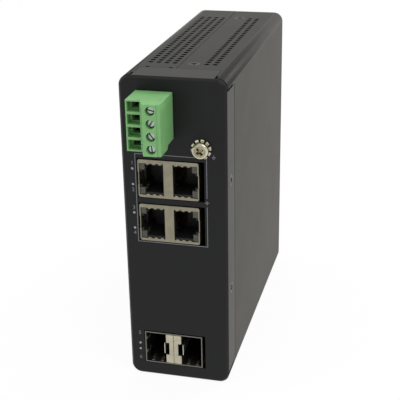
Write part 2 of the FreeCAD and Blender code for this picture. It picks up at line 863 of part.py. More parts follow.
def make_terminal_header():
    """Header on the board that the plug slides into, and its bent pins."""
    header = Piece("terminal_header").keep()
    inner_x = (f"{plug_side(0)} - header_fit", f"{plug_side(1)} + header_fit")
    inner_z = (f"{plug_level(0)} - header_fit", f"{plug_level(1)} + header_fit")
    outer_z = (f"{inner_z[0]} - header_wall", f"{inner_z[1]} + header_wall")
    mouth = behind("gauge + seam")
    header.pad("y", (mouth, HEADER_END), rect((CONNECTOR, f"{inner_x[1]} + header_wall"), outer_z))
    header.pocket("y", (mouth, behind("plug_insert + header_fit")), rect(inner_x, inner_z))
    ways = way_heights()
    pins = [rect(span(PIN_X, "pin_size + 2 * clamp_fit"), span(way, "pin_size + 2 * clamp_fit")) for way in ways]
    header.pocket("y", (behind("plug_insert + header_fit"), HEADER_END), *pins)

    pin_piece = Piece("header_pin")
    tip = behind("plug_insert - pin_reach")
    bend = f"{HEADER_END} + pin_bend"
    low, high = span(PIN_X, "pin_size")
    tail = f"{BOARD_REAR} - pin_tail"
    outline = [
        (low, tip),
        (high, tip),
        (high, bend),
        (tail, bend),
        (tail, f"{bend} - pin_size"),
        (low, f"{bend} - pin_size"),
    ]
    pin_piece.pad("z", span("0", "pin_size"), outline)
    group("header_pins", *((pin_piece, ("0", "0", way), "z", 0) for way in ways))


# stacked jack modules

JACK_RIGHT = f"({CONNECTOR} + jack_width)"
PORT_START = "(jack_rim + lamp_width)"
PORT_END = "(jack_rim + lamp_width + port_width)"


def from_side(side, distance):
    """Level along X at a distance inside the jacks' left (1) or right (-1) face."""
    return f"({CONNECTOR} + ({distance}))" if side > 0 else f"({JACK_RIGHT} - ({distance}))"


def ordered(first, second):
    """Two levels, the lower one first."""
    return (first, second) if value(first) < value(second) else (second, first)


def port_window(side, middle):
    """Window of one port in the shield: notched to the rim for the plug's key, with fingers along its edges."""
    low, high = span(f"({middle}) - window_drop", "window_height")
    rows = []
    for base, inward in ((low, "1"), (high, "-1")):
        row = [(from_side(side, "jack_rim"), base)]
        port_middle = f"{PORT_START} + port_width / 2"
        for finger in (-1, 0, 1):
            centre = f"{port_middle} + {finger} * finger_pitch"
            tip = f"{base} + {inward} * finger_rise"
            start, end = span(centre, "finger_width")
            row += [
                (from_side(side, start), base),
                (from_side(side, f"{start} + finger_rise / 2"), tip),
                (from_side(side, f"{end} - finger_rise / 2"), tip),
                (from_side(side, end), base),
            ]
        row.append((from_side(side, PORT_END), base))
        rows.append(row)
    key_low, key_high = span(middle, "key_slot")
    key = [
        (from_side(side, "jack_rim"), key_high),
        (from_side(side, "-shield_gauge"), key_high),
        (from_side(side, "-shield_gauge"), key_low),
        (from_side(side, "jack_rim"), key_low),
    ]
    return rows[0] + rows[1][::-1] + key


def make_jack(name, middle):
    """One module of two jacks lying side by side, their keys outwards: shield, insert, contacts and lenses."""
    front = behind("-jack_proud")
    inside = behind("shield_gauge - jack_proud")
    rear = behind("jack_depth")
    height = span(middle, "jack_height")
    sides = (CONNECTOR, JACK_RIGHT)
    shield = Piece(f"jack_shield_{name}").keep()
    shield.pad("y", (front, rear), rect(sides, height))
    shield.round("jack_corner", parallel("y", x=sides, z=height))
    inner_x = (f"{sides[0]} + shield_gauge", f"{sides[1]} - shield_gauge")
    inner_z = span(middle, "jack_height - 2 * shield_gauge")
    shield.pocket("y", (inside, rear), rect(inner_x, inner_z))
    for side in (1, -1):
        shield.pocket("y", (front, inside), port_window(side, middle))

    insert = Piece(f"jack_insert_{name}").keep()
    body_x = (f"{inner_x[0]} + mount_gap", f"{inner_x[1]} - mount_gap")
    body_z = span(middle, "jack_height - 2 * shield_gauge - 2 * mount_gap")
    face = f"{inside} + mount_gap"
    insert.pad("y", (face, rear), rect(body_x, body_z))
    for side in (1, -1):
        port = ordered(from_side(side, PORT_START), from_side(side, PORT_END))
        key = ordered(from_side(side, f"{PORT_START} - key_step"), from_side(side, PORT_START))
        slot = ordered(from_side(side, "0"), from_side(side, f"{PORT_START} - key_step"))
        cuts = (
            (port, "port_height", behind("port_reach")),
            (key, "key_height", behind("port_reach")),
            (slot, "key_slot", behind("lamp_length")),
        )
        for width, tall, depth in cuts:
            insert.pocket("y", (face, depth), rect(width, span(middle, tall)))
    lamp_places = []
    for side in (1, -1):
        centre = from_side(side, "jack_rim + lamp_width / 2")
        for end in (1, -1):
            lamp_places.append((centre, f"({middle}) - window_drop + {end} * (window_height - lamp_height) / 2"))
    wells = [
        rect(span(x, "lamp_width + 2 * lamp_fit"), span(z, "lamp_height + 2 * lamp_fit")) for x, z in lamp_places
    ]
    for well in wells:
        insert.pocket("y", (face, behind("lamp_length")), well)

    lens = Piece(f"jack_lens_{name}")
    lens.pad(
        "y",
        (behind("shield_gauge - jack_proud"), behind("lamp_length")),
        rect(span("0", "lamp_width"), span("0", "lamp_height")),
    )
    group(f"jack_lenses_{name}", *((lens, (x, "0", z), "z", 0) for x, z in lamp_places))

    contact = Piece(f"jack_contact_{name}")
    contact.pad(
        "z",
        span("0", "contact_width"),
        [
            ("0", behind("contact_start")),
            ("0", behind("contact_start + 3 * contact_gauge")),
            ("-contact_rise + contact_gauge", behind("port_reach")),
            ("-contact_rise", behind("port_reach")),
        ],
    )
    rows = [f"({middle}) + contact_pitch * ({row} - 3.5)" for row in range(8)]
    copies = [(contact, (from_side(1, PORT_END), "0", row), "y", 0) for row in rows]
    copies += [(contact, (from_side(-1, PORT_END), "0", row), "y", 180) for row in rows]
    group(f"jack_contacts_{name}", *copies)


# stacked fibre cage

CAGE_RIGHT = f"({CONNECTOR} + cage_width)"
CAGE_PORT_ENDS = ("(cage_gauge)", "(cage_gauge + cage_port)")


def in_cage(side, distance):
    """Level along X at a distance inside the cage's left (1) or right (-1) face."""
    return f"({CONNECTOR} + ({distance}))" if side > 0 else f"({CAGE_RIGHT} - ({distance}))"


def make_cage():
    """Cage of two ports, its face plates, latch springs and edge sockets."""
    front = behind("-cage_proud")
    rear = behind("cage_depth")
    inner_z = span(CAGE_MIDDLE, "cage_height - 2 * cage_gauge")
    ports = [ordered(*(in_cage(side, end) for end in CAGE_PORT_ENDS)) for side in (1, -1)]
    septum = (in_cage(1, CAGE_PORT_ENDS[1]), in_cage(-1, CAGE_PORT_ENDS[1]))
    cage = Piece("sfp_cage").keep()
    cage.pad("y", (front, rear), rect((CONNECTOR, CAGE_RIGHT), span(CAGE_MIDDLE, "cage_height")))
    cage.pocket("y", (front, f"{rear} - cage_gauge"), *(rect(port, inner_z) for port in ports))
    core = (f"{septum[0]} + cage_gauge", f"{septum[1]} - cage_gauge")
    cage.pocket("y", (front, f"{rear} - cage_gauge"), rect(core, inner_z))
    cage.pocket("y", (front, f"{front} + plate_gauge"), rect(septum, inner_z))
    notch_z = span(CAGE_MIDDLE, "plate_notch_height")
    mouth = (f"{front} + plate_gauge", behind("latch_length"))
    for side in (1, -1):
        wall = ordered(
            in_cage(side, CAGE_PORT_ENDS[1]), in_cage(side, f"{CAGE_PORT_ENDS[1]} + cage_gauge")
        )
        cage.pocket("y", mouth, rect(wall, notch_z))

    centre = f"(({septum[0]} + {septum[1]}) / 2)"
    plate = Piece("sfp_plate")
    width = f"({septum[1]} - {septum[0]}) / 2 - seam / 2"
    half = f"({inner_z[1]} - ({inner_z[0]})) / 2 - seam"
    notch = "plate_notch_height / 2"
    plate.pad(
        "y",
        (front, f"{front} + plate_gauge"),
        [
            ("-seam / 2", f"-({half})"),
            ("-seam / 2", half),
            (f"-({width})", half),
            (f"-({width})", notch),
            (f"-({width}) + plate_notch_width", notch),
            (f"-({width}) + plate_notch_width", f"-{notch}"),
            (f"-({width})", f"-{notch}"),
            (f"-({width})", f"-({half})"),
        ],
    )
    group("sfp_plates", *((plate, (centre, "0", CAGE_MIDDLE), "y", angle) for angle in (0, 180)))

    latch = Piece("sfp_latch")
    edge = f"({septum[0]} - {centre})"
    latch.pad(
        "z",
        span("0", "latch_height"),
        [
            (f"{edge} - latch_reach", f"{front} + plate_gauge"),
            (f"{edge} - latch_reach + latch_gauge", f"{front} + plate_gauge"),
            (f"{edge} + latch_gauge", behind("latch_length - seam")),
            (edge, behind("latch_length - seam")),
        ],
    )
    group("sfp_latches", *((latch, (centre, "0", CAGE_MIDDLE), "y", angle) for angle in (0, 180)))

    socket = Piece("edge_socket")
    end = f"{rear} - cage_gauge - mount_gap"
    start = f"{end} - edge_socket_depth"
    socket.pad("y", (start, end), rect(span("0", "edge_socket_width"), span("0", "edge_socket_height")))
    socket.pocket("y", (start, f"{end} - cage_gauge"), rect(span("0", "edge_slot"), span("0", "edge_slot_height")))
    middles = [f"({port[0]} + {port[1]}) / 2" for port in ports]
    group("sfp_sockets", *((socket, (x, "0", CAGE_MIDDLE), "z", 0) for x in middles))


# earth screw and lamps

def make_earth_point():
    """Pan-head earth screw with a cross recess, toothed washer and nut."""
    screw = Piece("earth_screw").keep()
    screw.pad("z", ("0", "earth_rise"), ring("0", "0", "earth_head", HEAD_SIDES))
    screw.bevel("earth_dome", around("z", "earth_rise", "0", "0", "earth_head"))
    screw.pad("z", ("-earth_length", "0"), ring("0", "0", "earth_shank"))
    for width, length in (("earth_slot", "earth_slot_length"), ("earth_slot_length", "earth_slot")):
        recess = rect(span("0", width), span("0", length))
        screw.pocket("z", ("earth_rise - earth_slot_depth", "earth_rise"), recess)
    screw.body.Placement = Placement(Vector(), Rotation(AXES["x"], 90))
    for letter, text in zip("xyz", ("earth_offset", behind("-washer_gauge"), "earth_height")):
        bind(screw.body, f"Placement.Base.{letter}", text)

    washer = Piece("earth_washer").keep()
    total = count("washer_teeth")
    outline = []
    for tooth in range(total):
        for share, radius in ((0, "washer_root"), (0.2, "washer_outer"), (0.8, "washer_outer"), (1, "washer_root")):
            turn = math.tau * (tooth + share * value("tooth_share")) / total
            place = (f"{math.cos(turn):.6f} * {radius} / 2", f"{math.sin(turn):.6f} * {radius} / 2")
            outline.append((f"earth_offset + {place[0]}", f"earth_height + {place[1]}"))
    levels = (behind("-washer_gauge"), behind("0"))
    washer.pad("y", levels, outline)
    washer.pocket("y", levels, ring("earth_offset", "earth_height", "earth_shank + 2 * screw_fit"))

    nut = Piece("earth_nut").keep()
    levels = (behind("gauge"), behind("gauge + nut_height"))
    nut.pad("y", levels, hexagon("earth_offset", "earth_height", "nut_flats * 1.1547"))
    nut.pocket("y", levels, ring("earth_offset", "earth_height", "earth_shank + 2 * screw_fit"))


def pipe_places():
    """Heights of the lamps beside the jacks and the cage."""
    places = []
    for middle in JACKS.values():
        places += span(f"{middle} + jack_pipe_rise", "jack_pipe_spread")
    places += span(CAGE_MIDDLE, "cage_pipe_spread")
    return places


def make_lamps():
    """Light pipes through the panel and the diodes behind them, on the board's far face."""
    pipe = Piece("light_pipe")
    pipe.pad("y", (behind("-pipe_proud"), behind("board_front - pipe_fit")), hexagon("0", "0", "pipe_diameter"))
    group("light_pipes", *((pipe, ("-pipe_offset", "0", height), "z", 0) for height in pipe_places()))
    diode = Piece("diode")
    diode.pad(
        "y",
        (behind("board_front"), behind("board_front + diode_length")),
        rect(("-diode_width", "0"), span("0", "diode_height")),
    )
    group("indicator_diodes", *((diode, (BOARD_REAR, "0", height), "z", 0) for height in pipe_places()))


# circuit board and what it carries

def standoff_places():
    """Places, from the side, of the board's stand-offs."""
    return [
        (behind(depth), height)
        for depth in ("standoff_front", "standoff_rear")
        for height in ("standoff_low", "standoff_high")
    ]


def make_board():
    """Board with its stand-offs and screws."""
    board = Piece("main_board").keep()
    levels = (BOARD_REAR, BOARD_FACE)
    outline = rect((behind("board_front"), behind("board_rear")), ("board_bottom", "board_top"))
    board.pad("x", levels, outline)
    hole = THREAD_HOLE
    holes = [hexagon(y, z, hole) for y, z in standoff_places()]
    pin_y = f"{HEADER_END} + pin_bend - pin_size / 2"
    holes += [
        rect(span(pin_y, "pin_size + 2 * clamp_fit"), span(way, "pin_size + 2 * clamp_fit"))
        for way in way_heights()
    ]
    board.pocket("x", levels, *holes)

    standoff = Piece("board_standoff")
    standoff.pad("x", (f"{LEFT} + gauge", BOARD_REAR), hexagon("0", "0", "standoff_flats * 1.1547"))
    standoff.pocket("x", (f"{LEFT} + 2 * gauge", BOARD_REAR), hexagon("0", "0", hole))
    group("board_standoffs", *((standoff, ("0", y, z), "x", 0) for y, z in standoff_places()))

    screw = Piece("board_screw")
    screw.pad("z", ("0", "board_screw_rise"), ring("0", "0", "board_screw_head"))
    screw.pad("z", ("-board_gauge - 2 * gauge", "0"), hexagon("0", "0", "screw_diameter"))
    group("board_screws", *((screw, (BOARD_FACE, y, z), "y", 90) for y, z in standoff_places()))


def make_board_parts():
    """Chip with its heat sink, capacitors, coils and transformers, all on the board's face."""
    chip = Piece("switch_chip").keep()
    middle = behind("chip_depth")
    chip_top = f"{BOARD_FACE} + chip_rise"
    chip.pad("x", (BOARD_FACE, chip_top), rect(span(middle, "chip_side"), span("chip_height", "chip_side")))
    sink = Piece("heat_sink").keep()
    base_top = f"{chip_top} + sink_base"
    sink_z = span("chip_height", "sink_side")
    sink.pad("x", (chip_top, base_top), rect(span(middle, "sink_side"), sink_z))
    fins = count("sink_fins")
    for fin in range(fins):
        share = f"(sink_side - sink_fin_gauge) * ({fin} / (sink_fins - 1) - 0.5)"
        fin_y = span(f"{middle} + {share}", "sink_fin_gauge")
        sink.pad("x", (base_top, f"{chip_top} + sink_rise"), rect(fin_y, sink_z))

    can = Piece("capacitor")
    can.pad("x", (BOARD_FACE, f"{BOARD_FACE} + can_rise"), ring("0", "0", "can_diameter", HEAD_SIDES))
    places = [(behind(f"can_depth + {step} * can_pitch"), "can_height") for step in range(count("can_count"))]
    group("filter_capacitors", *((can, ("0", y, z), "x", 0) for y, z in places))

    coil = Piece("coil")
    coil.pad("x", (BOARD_FACE, f"{BOARD_FACE} + coil_rise"), rect(span("0", "coil_side"), span("0", "coil_side")))
    places = [(behind("coil_depth"), f"coil_height + {step} * coil_pitch") for step in range(count("coil_count"))]
    group("power_inductors", *((coil, ("0", y, z), "x", 0) for y, z in places))

    core = Piece("core")
    core_y = span("0", "core_side")
    core.pad("x", (BOARD_FACE, f"{BOARD_FACE} + core_rise"), rect(core_y, span("0", "core_side")))
    groove_z = ("core_side / 2 - core_groove", "core_side / 2")
    groove_x = span(f"{BOARD_FACE} + core_rise / 2", "core_rise / 2")
    core.pocket("x", groove_x, rect(core_y, groove_z), rect(core_y, (f"-{groove_z[1]}", f"-({groove_z[0]})")))
    places = [(behind(f"core_depth + {step} * core_pitch"), "core_height") for step in range(count("core_count"))]
    group("power_transformers", *((core, ("0", y, z), "x", 0) for y, z in places))


# clip for the rail

SEAT = beyond("bracket_gauge")
HOOK = (beyond("bracket_gauge + rail_slot"), beyond("bracket_gauge + rail_slot + hook_gauge"))
SPRING_HIGH = f"({RAIL_LOW} + slider_travel + (spring_turns + 1) * spring_wire + spring_spare)"
SLIDER_HIGH = f"({SPRING_HIGH} + slider_gauge)"
SLIDER_LOW = "(rail_centre - bracket_drop - slider_tail)"
POST_LOW = f"({RAIL_LOW} - post_height)"
PLATE = (beyond("slider_floor + slider_fit"), beyond("slider_floor + slider_fit + slider_gauge"))


def make_bracket():
    """Bracket on the back wall: a fixed upper hook, and a slot for the sliding latch below."""
    bracket = Piece("din_bracket").keep()
    low = "rail_centre - bracket_drop"
    hook_low = f"{RAIL_HIGH} - hook_reach"
    hook_root = f"{RAIL_HIGH} + rail_fit"
    relief = beyond("bracket_gauge - hook_relief")
    profile = [
        (BACK, low),
        (SEAT, low),
        (SEAT, f"{hook_low} - rail_fit"),
        (relief, f"{hook_low} - rail_fit"),
        (relief, hook_root),
        (HOOK[0], hook_root),
        (HOOK[0], hook_low),
        (f"{HOOK[1]} - hook_slope / 2", hook_low),
        (HOOK[1], f"{hook_low} + hook_slope"),
        (HOOK[1], f"{hook_root} + hook_height"),
        (SEAT, f"{hook_root} + hook_height"),
        (SEAT, "rail_centre + bracket_rise"),
        (BACK, "rail_centre + bracket_rise"),
    ]
    bracket.pad("x", span("0", "bracket_width"), profile)
    floor = beyond("slider_floor")
    undercut = beyond("slider_floor + 2 * slider_fit + slider_gauge")
    wide = span("0", "slider_width + 2 * slider_fit")
    neck = span("0", "slider_neck + 2 * slider_fit")
    slot = [
        (wide[0], floor),
        (wide[1], floor),
        (wide[1], undercut),
        (neck[1], undercut),
        (neck[1], SEAT),
        (neck[0], SEAT),
        (neck[0], undercut),
        (wide[0], undercut),
    ]
    bracket.pocket("z", (low, f"{SLIDER_HIGH} + slider_fit"), slot)
    post = rect(span("0", "spring_window - 2 * slider_fit"), (POST_LOW, RAIL_LOW))
    bracket.pad("y", (floor, PLATE[1]), post)
    places = bracket_screw_places()
    bracket.countersink("y", (BACK, SEAT), SEAT, places)

    screw = countersunk_screw("bracket_screw", "bracket_screw_length")
    group("bracket_screws", *((screw, (x, SEAT, z), "x", -90) for x, z in places))


def make_rail_latch():
    """Sliding latch with its lip, spring window and tool slot, and the folded spring in the window."""
    latch = Piece("din_latch").keep()
    latch.pad("y", PLATE, rect(span("0", "slider_width"), (SLIDER_LOW, SLIDER_HIGH)))
    neck_end = f"{SEAT} - slider_fit"
    latch.pad("y", (PLATE[1], neck_end), rect(span("0", "slider_neck"), (SLIDER_LOW, SLIDER_HIGH)))
    arm_high = f"{RAIL_LOW} - rail_fit"
    lip_high = f"{RAIL_LOW} + hook_reach"
    lip = [
        (PLATE[1], f"{arm_high} - slider_arm"),
        (HOOK[1], f"{arm_high} - slider_arm"),
        (HOOK[1], f"{lip_high} - hook_slope"),
        (f"{HOOK[1]} - hook_slope", lip_high),
        (HOOK[0], lip_high),
        (HOOK[0], arm_high),
        (PLATE[1], arm_high),
    ]
    latch.pad("x", span("0", "slider_neck"), lip)
    window = rect(span("0", "spring_window"), (f"{POST_LOW} - spring_fit", SPRING_HIGH))
    latch.pocket("y", (PLATE[0], f"{PLATE[1]} + spring_fit"), window)
    tool = span(f"{SLIDER_LOW} + slider_tail / 2", "tool_slot_height")
    latch.pocket("y", (PLATE[0], neck_end), rect(span("0", "tool_slot_width"), tool))

    spring = Piece("din_spring").keep()
    turns = count("spring_turns")
    low = f"({RAIL_LOW} + spring_fit)"
    high = f"({SPRING_HIGH} - spring_fit)"
    side = "(spring_window / 2 - slider_fit)"
    step = f"(({high} - spring_wire - {low}) / spring_turns)"
    depth = (f"{PLATE[0]} + spring_fit", f"{PLATE[1]} - spring_fit")
    for turn in range(turns + 1):
        level = f"{low} + {turn} * {step}"
        spring.pad("y", depth, rect((f"-{side}", side), (level, f"{level} + spring_wire")))
        if turn < turns:
            bend = (f"{side} - spring_wire", side) if turn % 2 else (f"-{side}", f"spring_wire - {side}")
            spring.pad("y", depth, rect(bend, (level, f"{level} + {step}")))


def main():
    """Builds every sub-part, checks it and writes its file."""
    make_front_panel()
    make_chassis()
    make_side_cover()
    make_case_screws()
    make_terminal_plug()
    make_plug_metal()
    make_terminal_header()
    for name, middle in JACKS.items():
        make_jack(name, middle)
    make_cage()
    make_earth_point()
    make_lamps()
    make_board()
    make_board_parts()
    make_bracket()
    make_rail_latch()
    doc.recompute()
    for item in doc.Objects:
        if {"Invalid", "Error"} & set(item.State):
            raise ValueError(f"{item.Label} failed: {item.State}")
    os.makedirs("parts", exist_ok=True)
    for name, item in nodes.items():
        shape = item.Shape
        if shape.isNull() or not shape.isValid() or not shape.Solids:
            raise ValueError(f"{name} has no valid solid")
        shape.exportStep(f"parts/{name}.step")


main()
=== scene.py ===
"""Media converter for a DIN rail, dressed for a studio picture.

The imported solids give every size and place. This script gives them their finishes, replaces the small
fasteners and lamps by finer meshes, prints the marks on the front panel and sets up the studio.
The object's lengths are in millimetres and the studio's are in metres. Angles in fields are in degrees.
"""
import logging
import math
from abc import ABC, abstractmethod
from dataclasses import dataclass
from enum import Enum
from typing import Callable, Iterable, Sequence, Union

import bpy
from mathutils import Matrix, Vector


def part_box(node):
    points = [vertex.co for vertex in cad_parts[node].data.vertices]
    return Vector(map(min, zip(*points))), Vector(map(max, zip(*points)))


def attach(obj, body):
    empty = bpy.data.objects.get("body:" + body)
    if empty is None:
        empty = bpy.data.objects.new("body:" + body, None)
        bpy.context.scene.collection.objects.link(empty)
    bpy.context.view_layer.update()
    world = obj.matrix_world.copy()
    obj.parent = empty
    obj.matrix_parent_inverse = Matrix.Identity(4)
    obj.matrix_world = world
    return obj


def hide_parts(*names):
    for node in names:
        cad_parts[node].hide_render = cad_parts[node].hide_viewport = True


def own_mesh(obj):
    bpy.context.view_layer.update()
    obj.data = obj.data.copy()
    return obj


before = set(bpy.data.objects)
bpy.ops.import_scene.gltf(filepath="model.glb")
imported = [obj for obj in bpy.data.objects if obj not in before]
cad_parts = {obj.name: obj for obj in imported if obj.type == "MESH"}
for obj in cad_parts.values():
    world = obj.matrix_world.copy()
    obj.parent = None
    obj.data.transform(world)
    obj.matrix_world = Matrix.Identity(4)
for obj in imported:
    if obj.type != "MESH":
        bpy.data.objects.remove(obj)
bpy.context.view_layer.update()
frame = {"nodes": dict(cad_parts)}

LOG = logging.getLogger("media_converter")
MM = 0.001
# two points nearer than this, in metres, are one
NEAR = 1e-6
# the value on a mesh that tells how much painted shade darkens a point: shade in screw drives and a dark
# reflection on a head's flat
PAINTED_SHADE = "painted_shade"

Colour = tuple[float, float, float]
Pair = tuple[float, float]
Piece = bpy.types.Object
Place = tuple[float, float, float]


class Body(str, Enum):
    """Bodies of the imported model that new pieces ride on."""

    CASE = "case"
    PLUG = "plug"


class Slot(str, Enum):
    """The record's material slots named for new pieces, which the script passes along without using."""

    BLACK_SCREW = "black_screw"
    BRIGHT_SCREW = "bright_screw"
    CAGE_STEEL = "cage_steel"
    CASE_PAINT = "case_paint"
    CLAMP_STEEL = "clamp_steel"
    PIPE_CLEAR = "pipe_clear"
    SPRING_STEEL = "spring_steel"


class Ray(Enum):
    """Kinds of rays, by the output of Light Path that tells them."""

    CAMERA = "Is Camera Ray"
    GLOSSY = "Is Glossy Ray"
    TRANSMISSION = "Is Transmission Ray"


class Axis(Enum):
    """Axes along which a flat piece is opened, by their place in a vector."""

    Y = 1
    Z = 2


class Recess(Enum):
    """Drive that a screw's head carries."""

    SLOT = "slot"
    CROSS = "cross"


class Facing(Enum):
    """Direction in which a piece's top looks, as a turn from +Z in radians."""

    UP = (0.0, 0.0, 0.0)
    DOWN = (math.pi, 0.0, 0.0)
    RIGHT = (0.0, math.pi / 2, 0.0)
    LEFT = (0.0, -math.pi / 2, 0.0)
    FRONT = (math.pi / 2, 0.0, 0.0)
    BACK = (-math.pi / 2, 0.0, 0.0)

    def at(self, place: Place, spin: float = 0.0) -> Matrix:
        """Gives the placement of a piece that faces this way.

        Args:
            place: Where the piece's origin goes.
            spin: Turn about the piece's own axis.

        Returns:
            The placement in metres.
        """
        turn = Matrix.Identity(4)
        for angle, axis in zip(self.value, "XYZ"):
            turn = Matrix.Rotation(angle, 4, axis) @ turn
        return Matrix.Translation(Vector(place) * MM) @ turn @ Matrix.Rotation(math.radians(spin), 4, "Z")


# shader maths


class Sock:
    """A node's output whose arithmetic adds Math nodes to the material."""

    def __init__(self, shader: "Shader", socket: bpy.types.NodeSocket) -> None:
        """Keeps the socket and the shader that it belongs to."""
        self.shader = shader
        self.socket = socket

    def _maths(self, operation: str, other: "Value") -> "Sock":
        """Adds the Math node of one operation with a number or socket."""
        return self.shader.node("ShaderNodeMath", {"operation": operation}, {0: self, 1: other})

    def __add__(self, other: "Value") -> "Sock":
        """Sum with a number or socket."""
        return self._maths("ADD", other)

    def __mul__(self, other: "Value") -> "Sock":
        """Product with a number or socket."""
        return self._maths("MULTIPLY", other)

    def __or__(self, other: "Value") -> "Sock":
        """Larger of this and a number or socket."""
        return self._maths("MAXIMUM", other)

    # none of the three minds which operand comes first
    __radd__ = __add__
    __rmul__ = __mul__
    __ror__ = __or__


Value = Union[float, Sequence[float], Sock]
Inputs = dict[Union[str, int], Value]


class Shader:
    """Builds the nodes of one material or of the world."""

    # levels of detail in a fine pattern and in a cloudy one
    FINE = 2.0
    CLOUDY = 3.0
    # dark and bright end of the part of a noise's range that is used
    NOISE_ENDS = (0.3, 0.7)
    # numbers of a Mix node's sockets for colours, whose names aren't theirs alone
    MIX_FACTOR = 0
    MIX_FIRST = 6
    MIX_SECOND = 7
    MIX_RESULT = 2

    def __init__(self, owner: Union[bpy.types.Material, bpy.types.World]) -> None:
        """Starts an empty node tree.

        Args:
            owner: The material or world that the nodes belong to.
        """
        self.owner = owner
        owner.use_nodes = True
        self.tree = owner.node_tree
        self.tree.nodes.clear()

    @classmethod
    def paint(cls, name: str) -> "Shader":
        """Starts a new material of a name."""
        return cls(bpy.data.materials.new(name))

    def _add(self, kind: str, settings: dict, inputs: Inputs) -> bpy.types.Node:
        """Adds a node, sets it up and links it.

        Args:
            kind: Blender's type of the node.
            settings: Properties of the node.
            inputs: Values or sockets for the node's inputs, by name or number.

        Returns:
            The new node.
        """
        made = self.tree.nodes.new(kind)
        for name, setting in settings.items():
            setattr(made, name, setting)
        for name, given in inputs.items():
            if isinstance(given, Sock):
                self.tree.links.new(given.socket, made.inputs[name])
            else:
                made.inputs[name].default_value = given
        return made

    def node(self, kind: str, settings: dict, inputs: Inputs, output: Union[str, int] = 0) -> Sock:
        """Adds a node, as _add does, and gives the output that is wanted, by name or number."""
        return Sock(self, self._add(kind, settings, inputs).outputs[output])

    def noise(self, grain: float, detail: float = FINE, stretch: Place = (1.0, 1.0, 1.0)) -> Sock:
        """Adds a noise pattern on the object's coordinates.

        Args:
            grain: Size of the pattern's features.
            detail: Finer levels of the pattern.
            stretch: Scale of the coordinates along each axis. A small one draws the pattern out.

        Returns:
            The noise, about 0 to 1.
        """
        plain = self.node("ShaderNodeTexCoord", {}, {}, "Object")
        place = self.node("ShaderNodeMapping", {}, {"Vector": plain, "Scale": stretch})
        inputs = {"Vector": place, "Scale": 1.0 / (grain * MM), "Detail": detail}
        return self.node("ShaderNodeTexNoise", {}, inputs, "Fac")

    def spread(self, value: Sock, limits: Pair, about: float = 0.0) -> Sock:
        """Maps the middle of a noise's range onto two limits.

        Args:
            value: The noise.
            limits: Results at the noise's dark end and at its bright end.
            about: The value that the limits are counted from.

        Returns:
            The mapped value.
        """
        dark, bright = self.NOISE_ENDS
        low, high = (about + limit for limit in limits)
        inputs = {"Value": value, "From Min": dark, "From Max": bright, "To Min": low, "To Max": high}
        return self.node("ShaderNodeMapRange", {"clamp": True}, inputs)

    def blend(self, factor: Sock, first: Union[Colour, Sock], second: Union[Colour, Sock]) -> Sock:
        """Mixes two colours.

        Args:
            factor: 0 for the first colour, 1 for the second.
            first: First colour.
            second: Second colour.

        Returns:
            The mixed colour.
        """
        first, second = (given if isinstance(given, Sock) else (*given, 1.0) for given in (first, second))
        inputs = {self.MIX_FACTOR: factor, self.MIX_FIRST: first, self.MIX_SECOND: second}
        return self.node("ShaderNodeMix", {"data_type": "RGBA"}, inputs, self.MIX_RESULT)

    def shades(self, pattern: Sock, colour: Colour, shares: Pair) -> Sock:
        """Varies a colour between two shares of itself, from a pattern's dark end to its bright end."""
        dark, light = (tuple(channel * share for channel in colour) for share in shares)
        return self.blend(self.spread(pattern, (0.0, 1.0)), dark, light)

    def mark(self, name: str) -> Sock:
        """Gives a value that the mesh carries, 0 where it carries none."""
        return self.node("ShaderNodeAttribute", {"attribute_name": name}, {}, "Fac")

    def bump(self, height: Sock, depth: float, strength: float = 1.0) -> Sock:
        """Turns a height pattern of some depth into normals, with a share of the effect."""
        inputs = {"Height": height, "Distance": depth * MM, "Strength": strength}
        return self.node("ShaderNodeBump", {}, inputs, "Normal")

    def rays(self, kind: Ray) -> Sock:
        """Gives 1 for one kind of rays and 0 for the others."""
        return self.node("ShaderNodeLightPath", {}, {}, kind.value)

    def finish(self, inputs: Inputs) -> bpy.types.Material:
        """Ends a material in a principled shader with these inputs, and gives the material."""
        self.end("ShaderNodeOutputMaterial", self.node("ShaderNodeBsdfPrincipled", {}, inputs))
        return self.owner

    def end(self, kind: str, surface: Sock) -> None:
        """Ends the tree in an output node of a kind, which shows a shader."""
        self._add(kind, {}, {"Surface": surface})


# finishes


@dataclass(frozen=True)
class Finish(ABC):
    """What a surface is made of, with the name of its material."""

    name: str
    colour: Colour

    @abstractmethod
    def material(self) -> bpy.types.Material:
        """Makes the material."""


@dataclass(frozen=True)
class PowderCoat(Finish):
    """Sprayed and baked paint with the fine grain of powder coat."""

    roughness: float
    ior: float
    grain: float = 0.32
    depth: float = 0.012
    speck: float = 0.9
    speck_share: float = 0.3
    cloud: float = 18.0
    cloud_share: float = 0.3
    shades: Pair = (0.85, 1.2)
    cloud_gloss: Pair = (-0.012, 0.015)
    grain_gloss: Pair = (-0.03, 0.03)
    # painted warm reflection: a faint warm-tinted sheen at shallow angles
    painted_sheen: float = 0.04
    painted_sheen_roughness: float = 0.35
    painted_sheen_tint: Colour = (1.0, 0.85, 0.35)

    def material(self) -> bpy.types.Material:
        """Makes the material: a grainy skin with specks, cloudy gloss and a faint warm sheen at shallow
        angles, a painted warm reflection of the surroundings.

        Returns:
            The material.
        """
        shader = Shader.paint(self.name)
        skin = shader.noise(self.grain)
        cloud = shader.noise(self.cloud, Shader.CLOUDY)
        speck = shader.noise(self.speck)
        tone = cloud * self.cloud_share + speck * (1.0 - self.cloud_share)
        height = skin * (1.0 - self.speck_share) + speck * self.speck_share
        gloss = shader.spread(cloud, self.cloud_gloss, self.roughness)
        return shader.finish({
            "Base Color": shader.shades(tone, self.colour, self.shades),
            "Roughness": gloss + shader.spread(skin, self.grain_gloss),
            "IOR": self.ior,
            # painted warm reflection of the surroundings
            "Sheen Weight": self.painted_sheen,
            "Sheen Roughness": self.painted_sheen_roughness,
            "Sheen Tint": (*self.painted_sheen_tint, 1.0),
            "Normal": shader.bump(height, self.depth),
        })


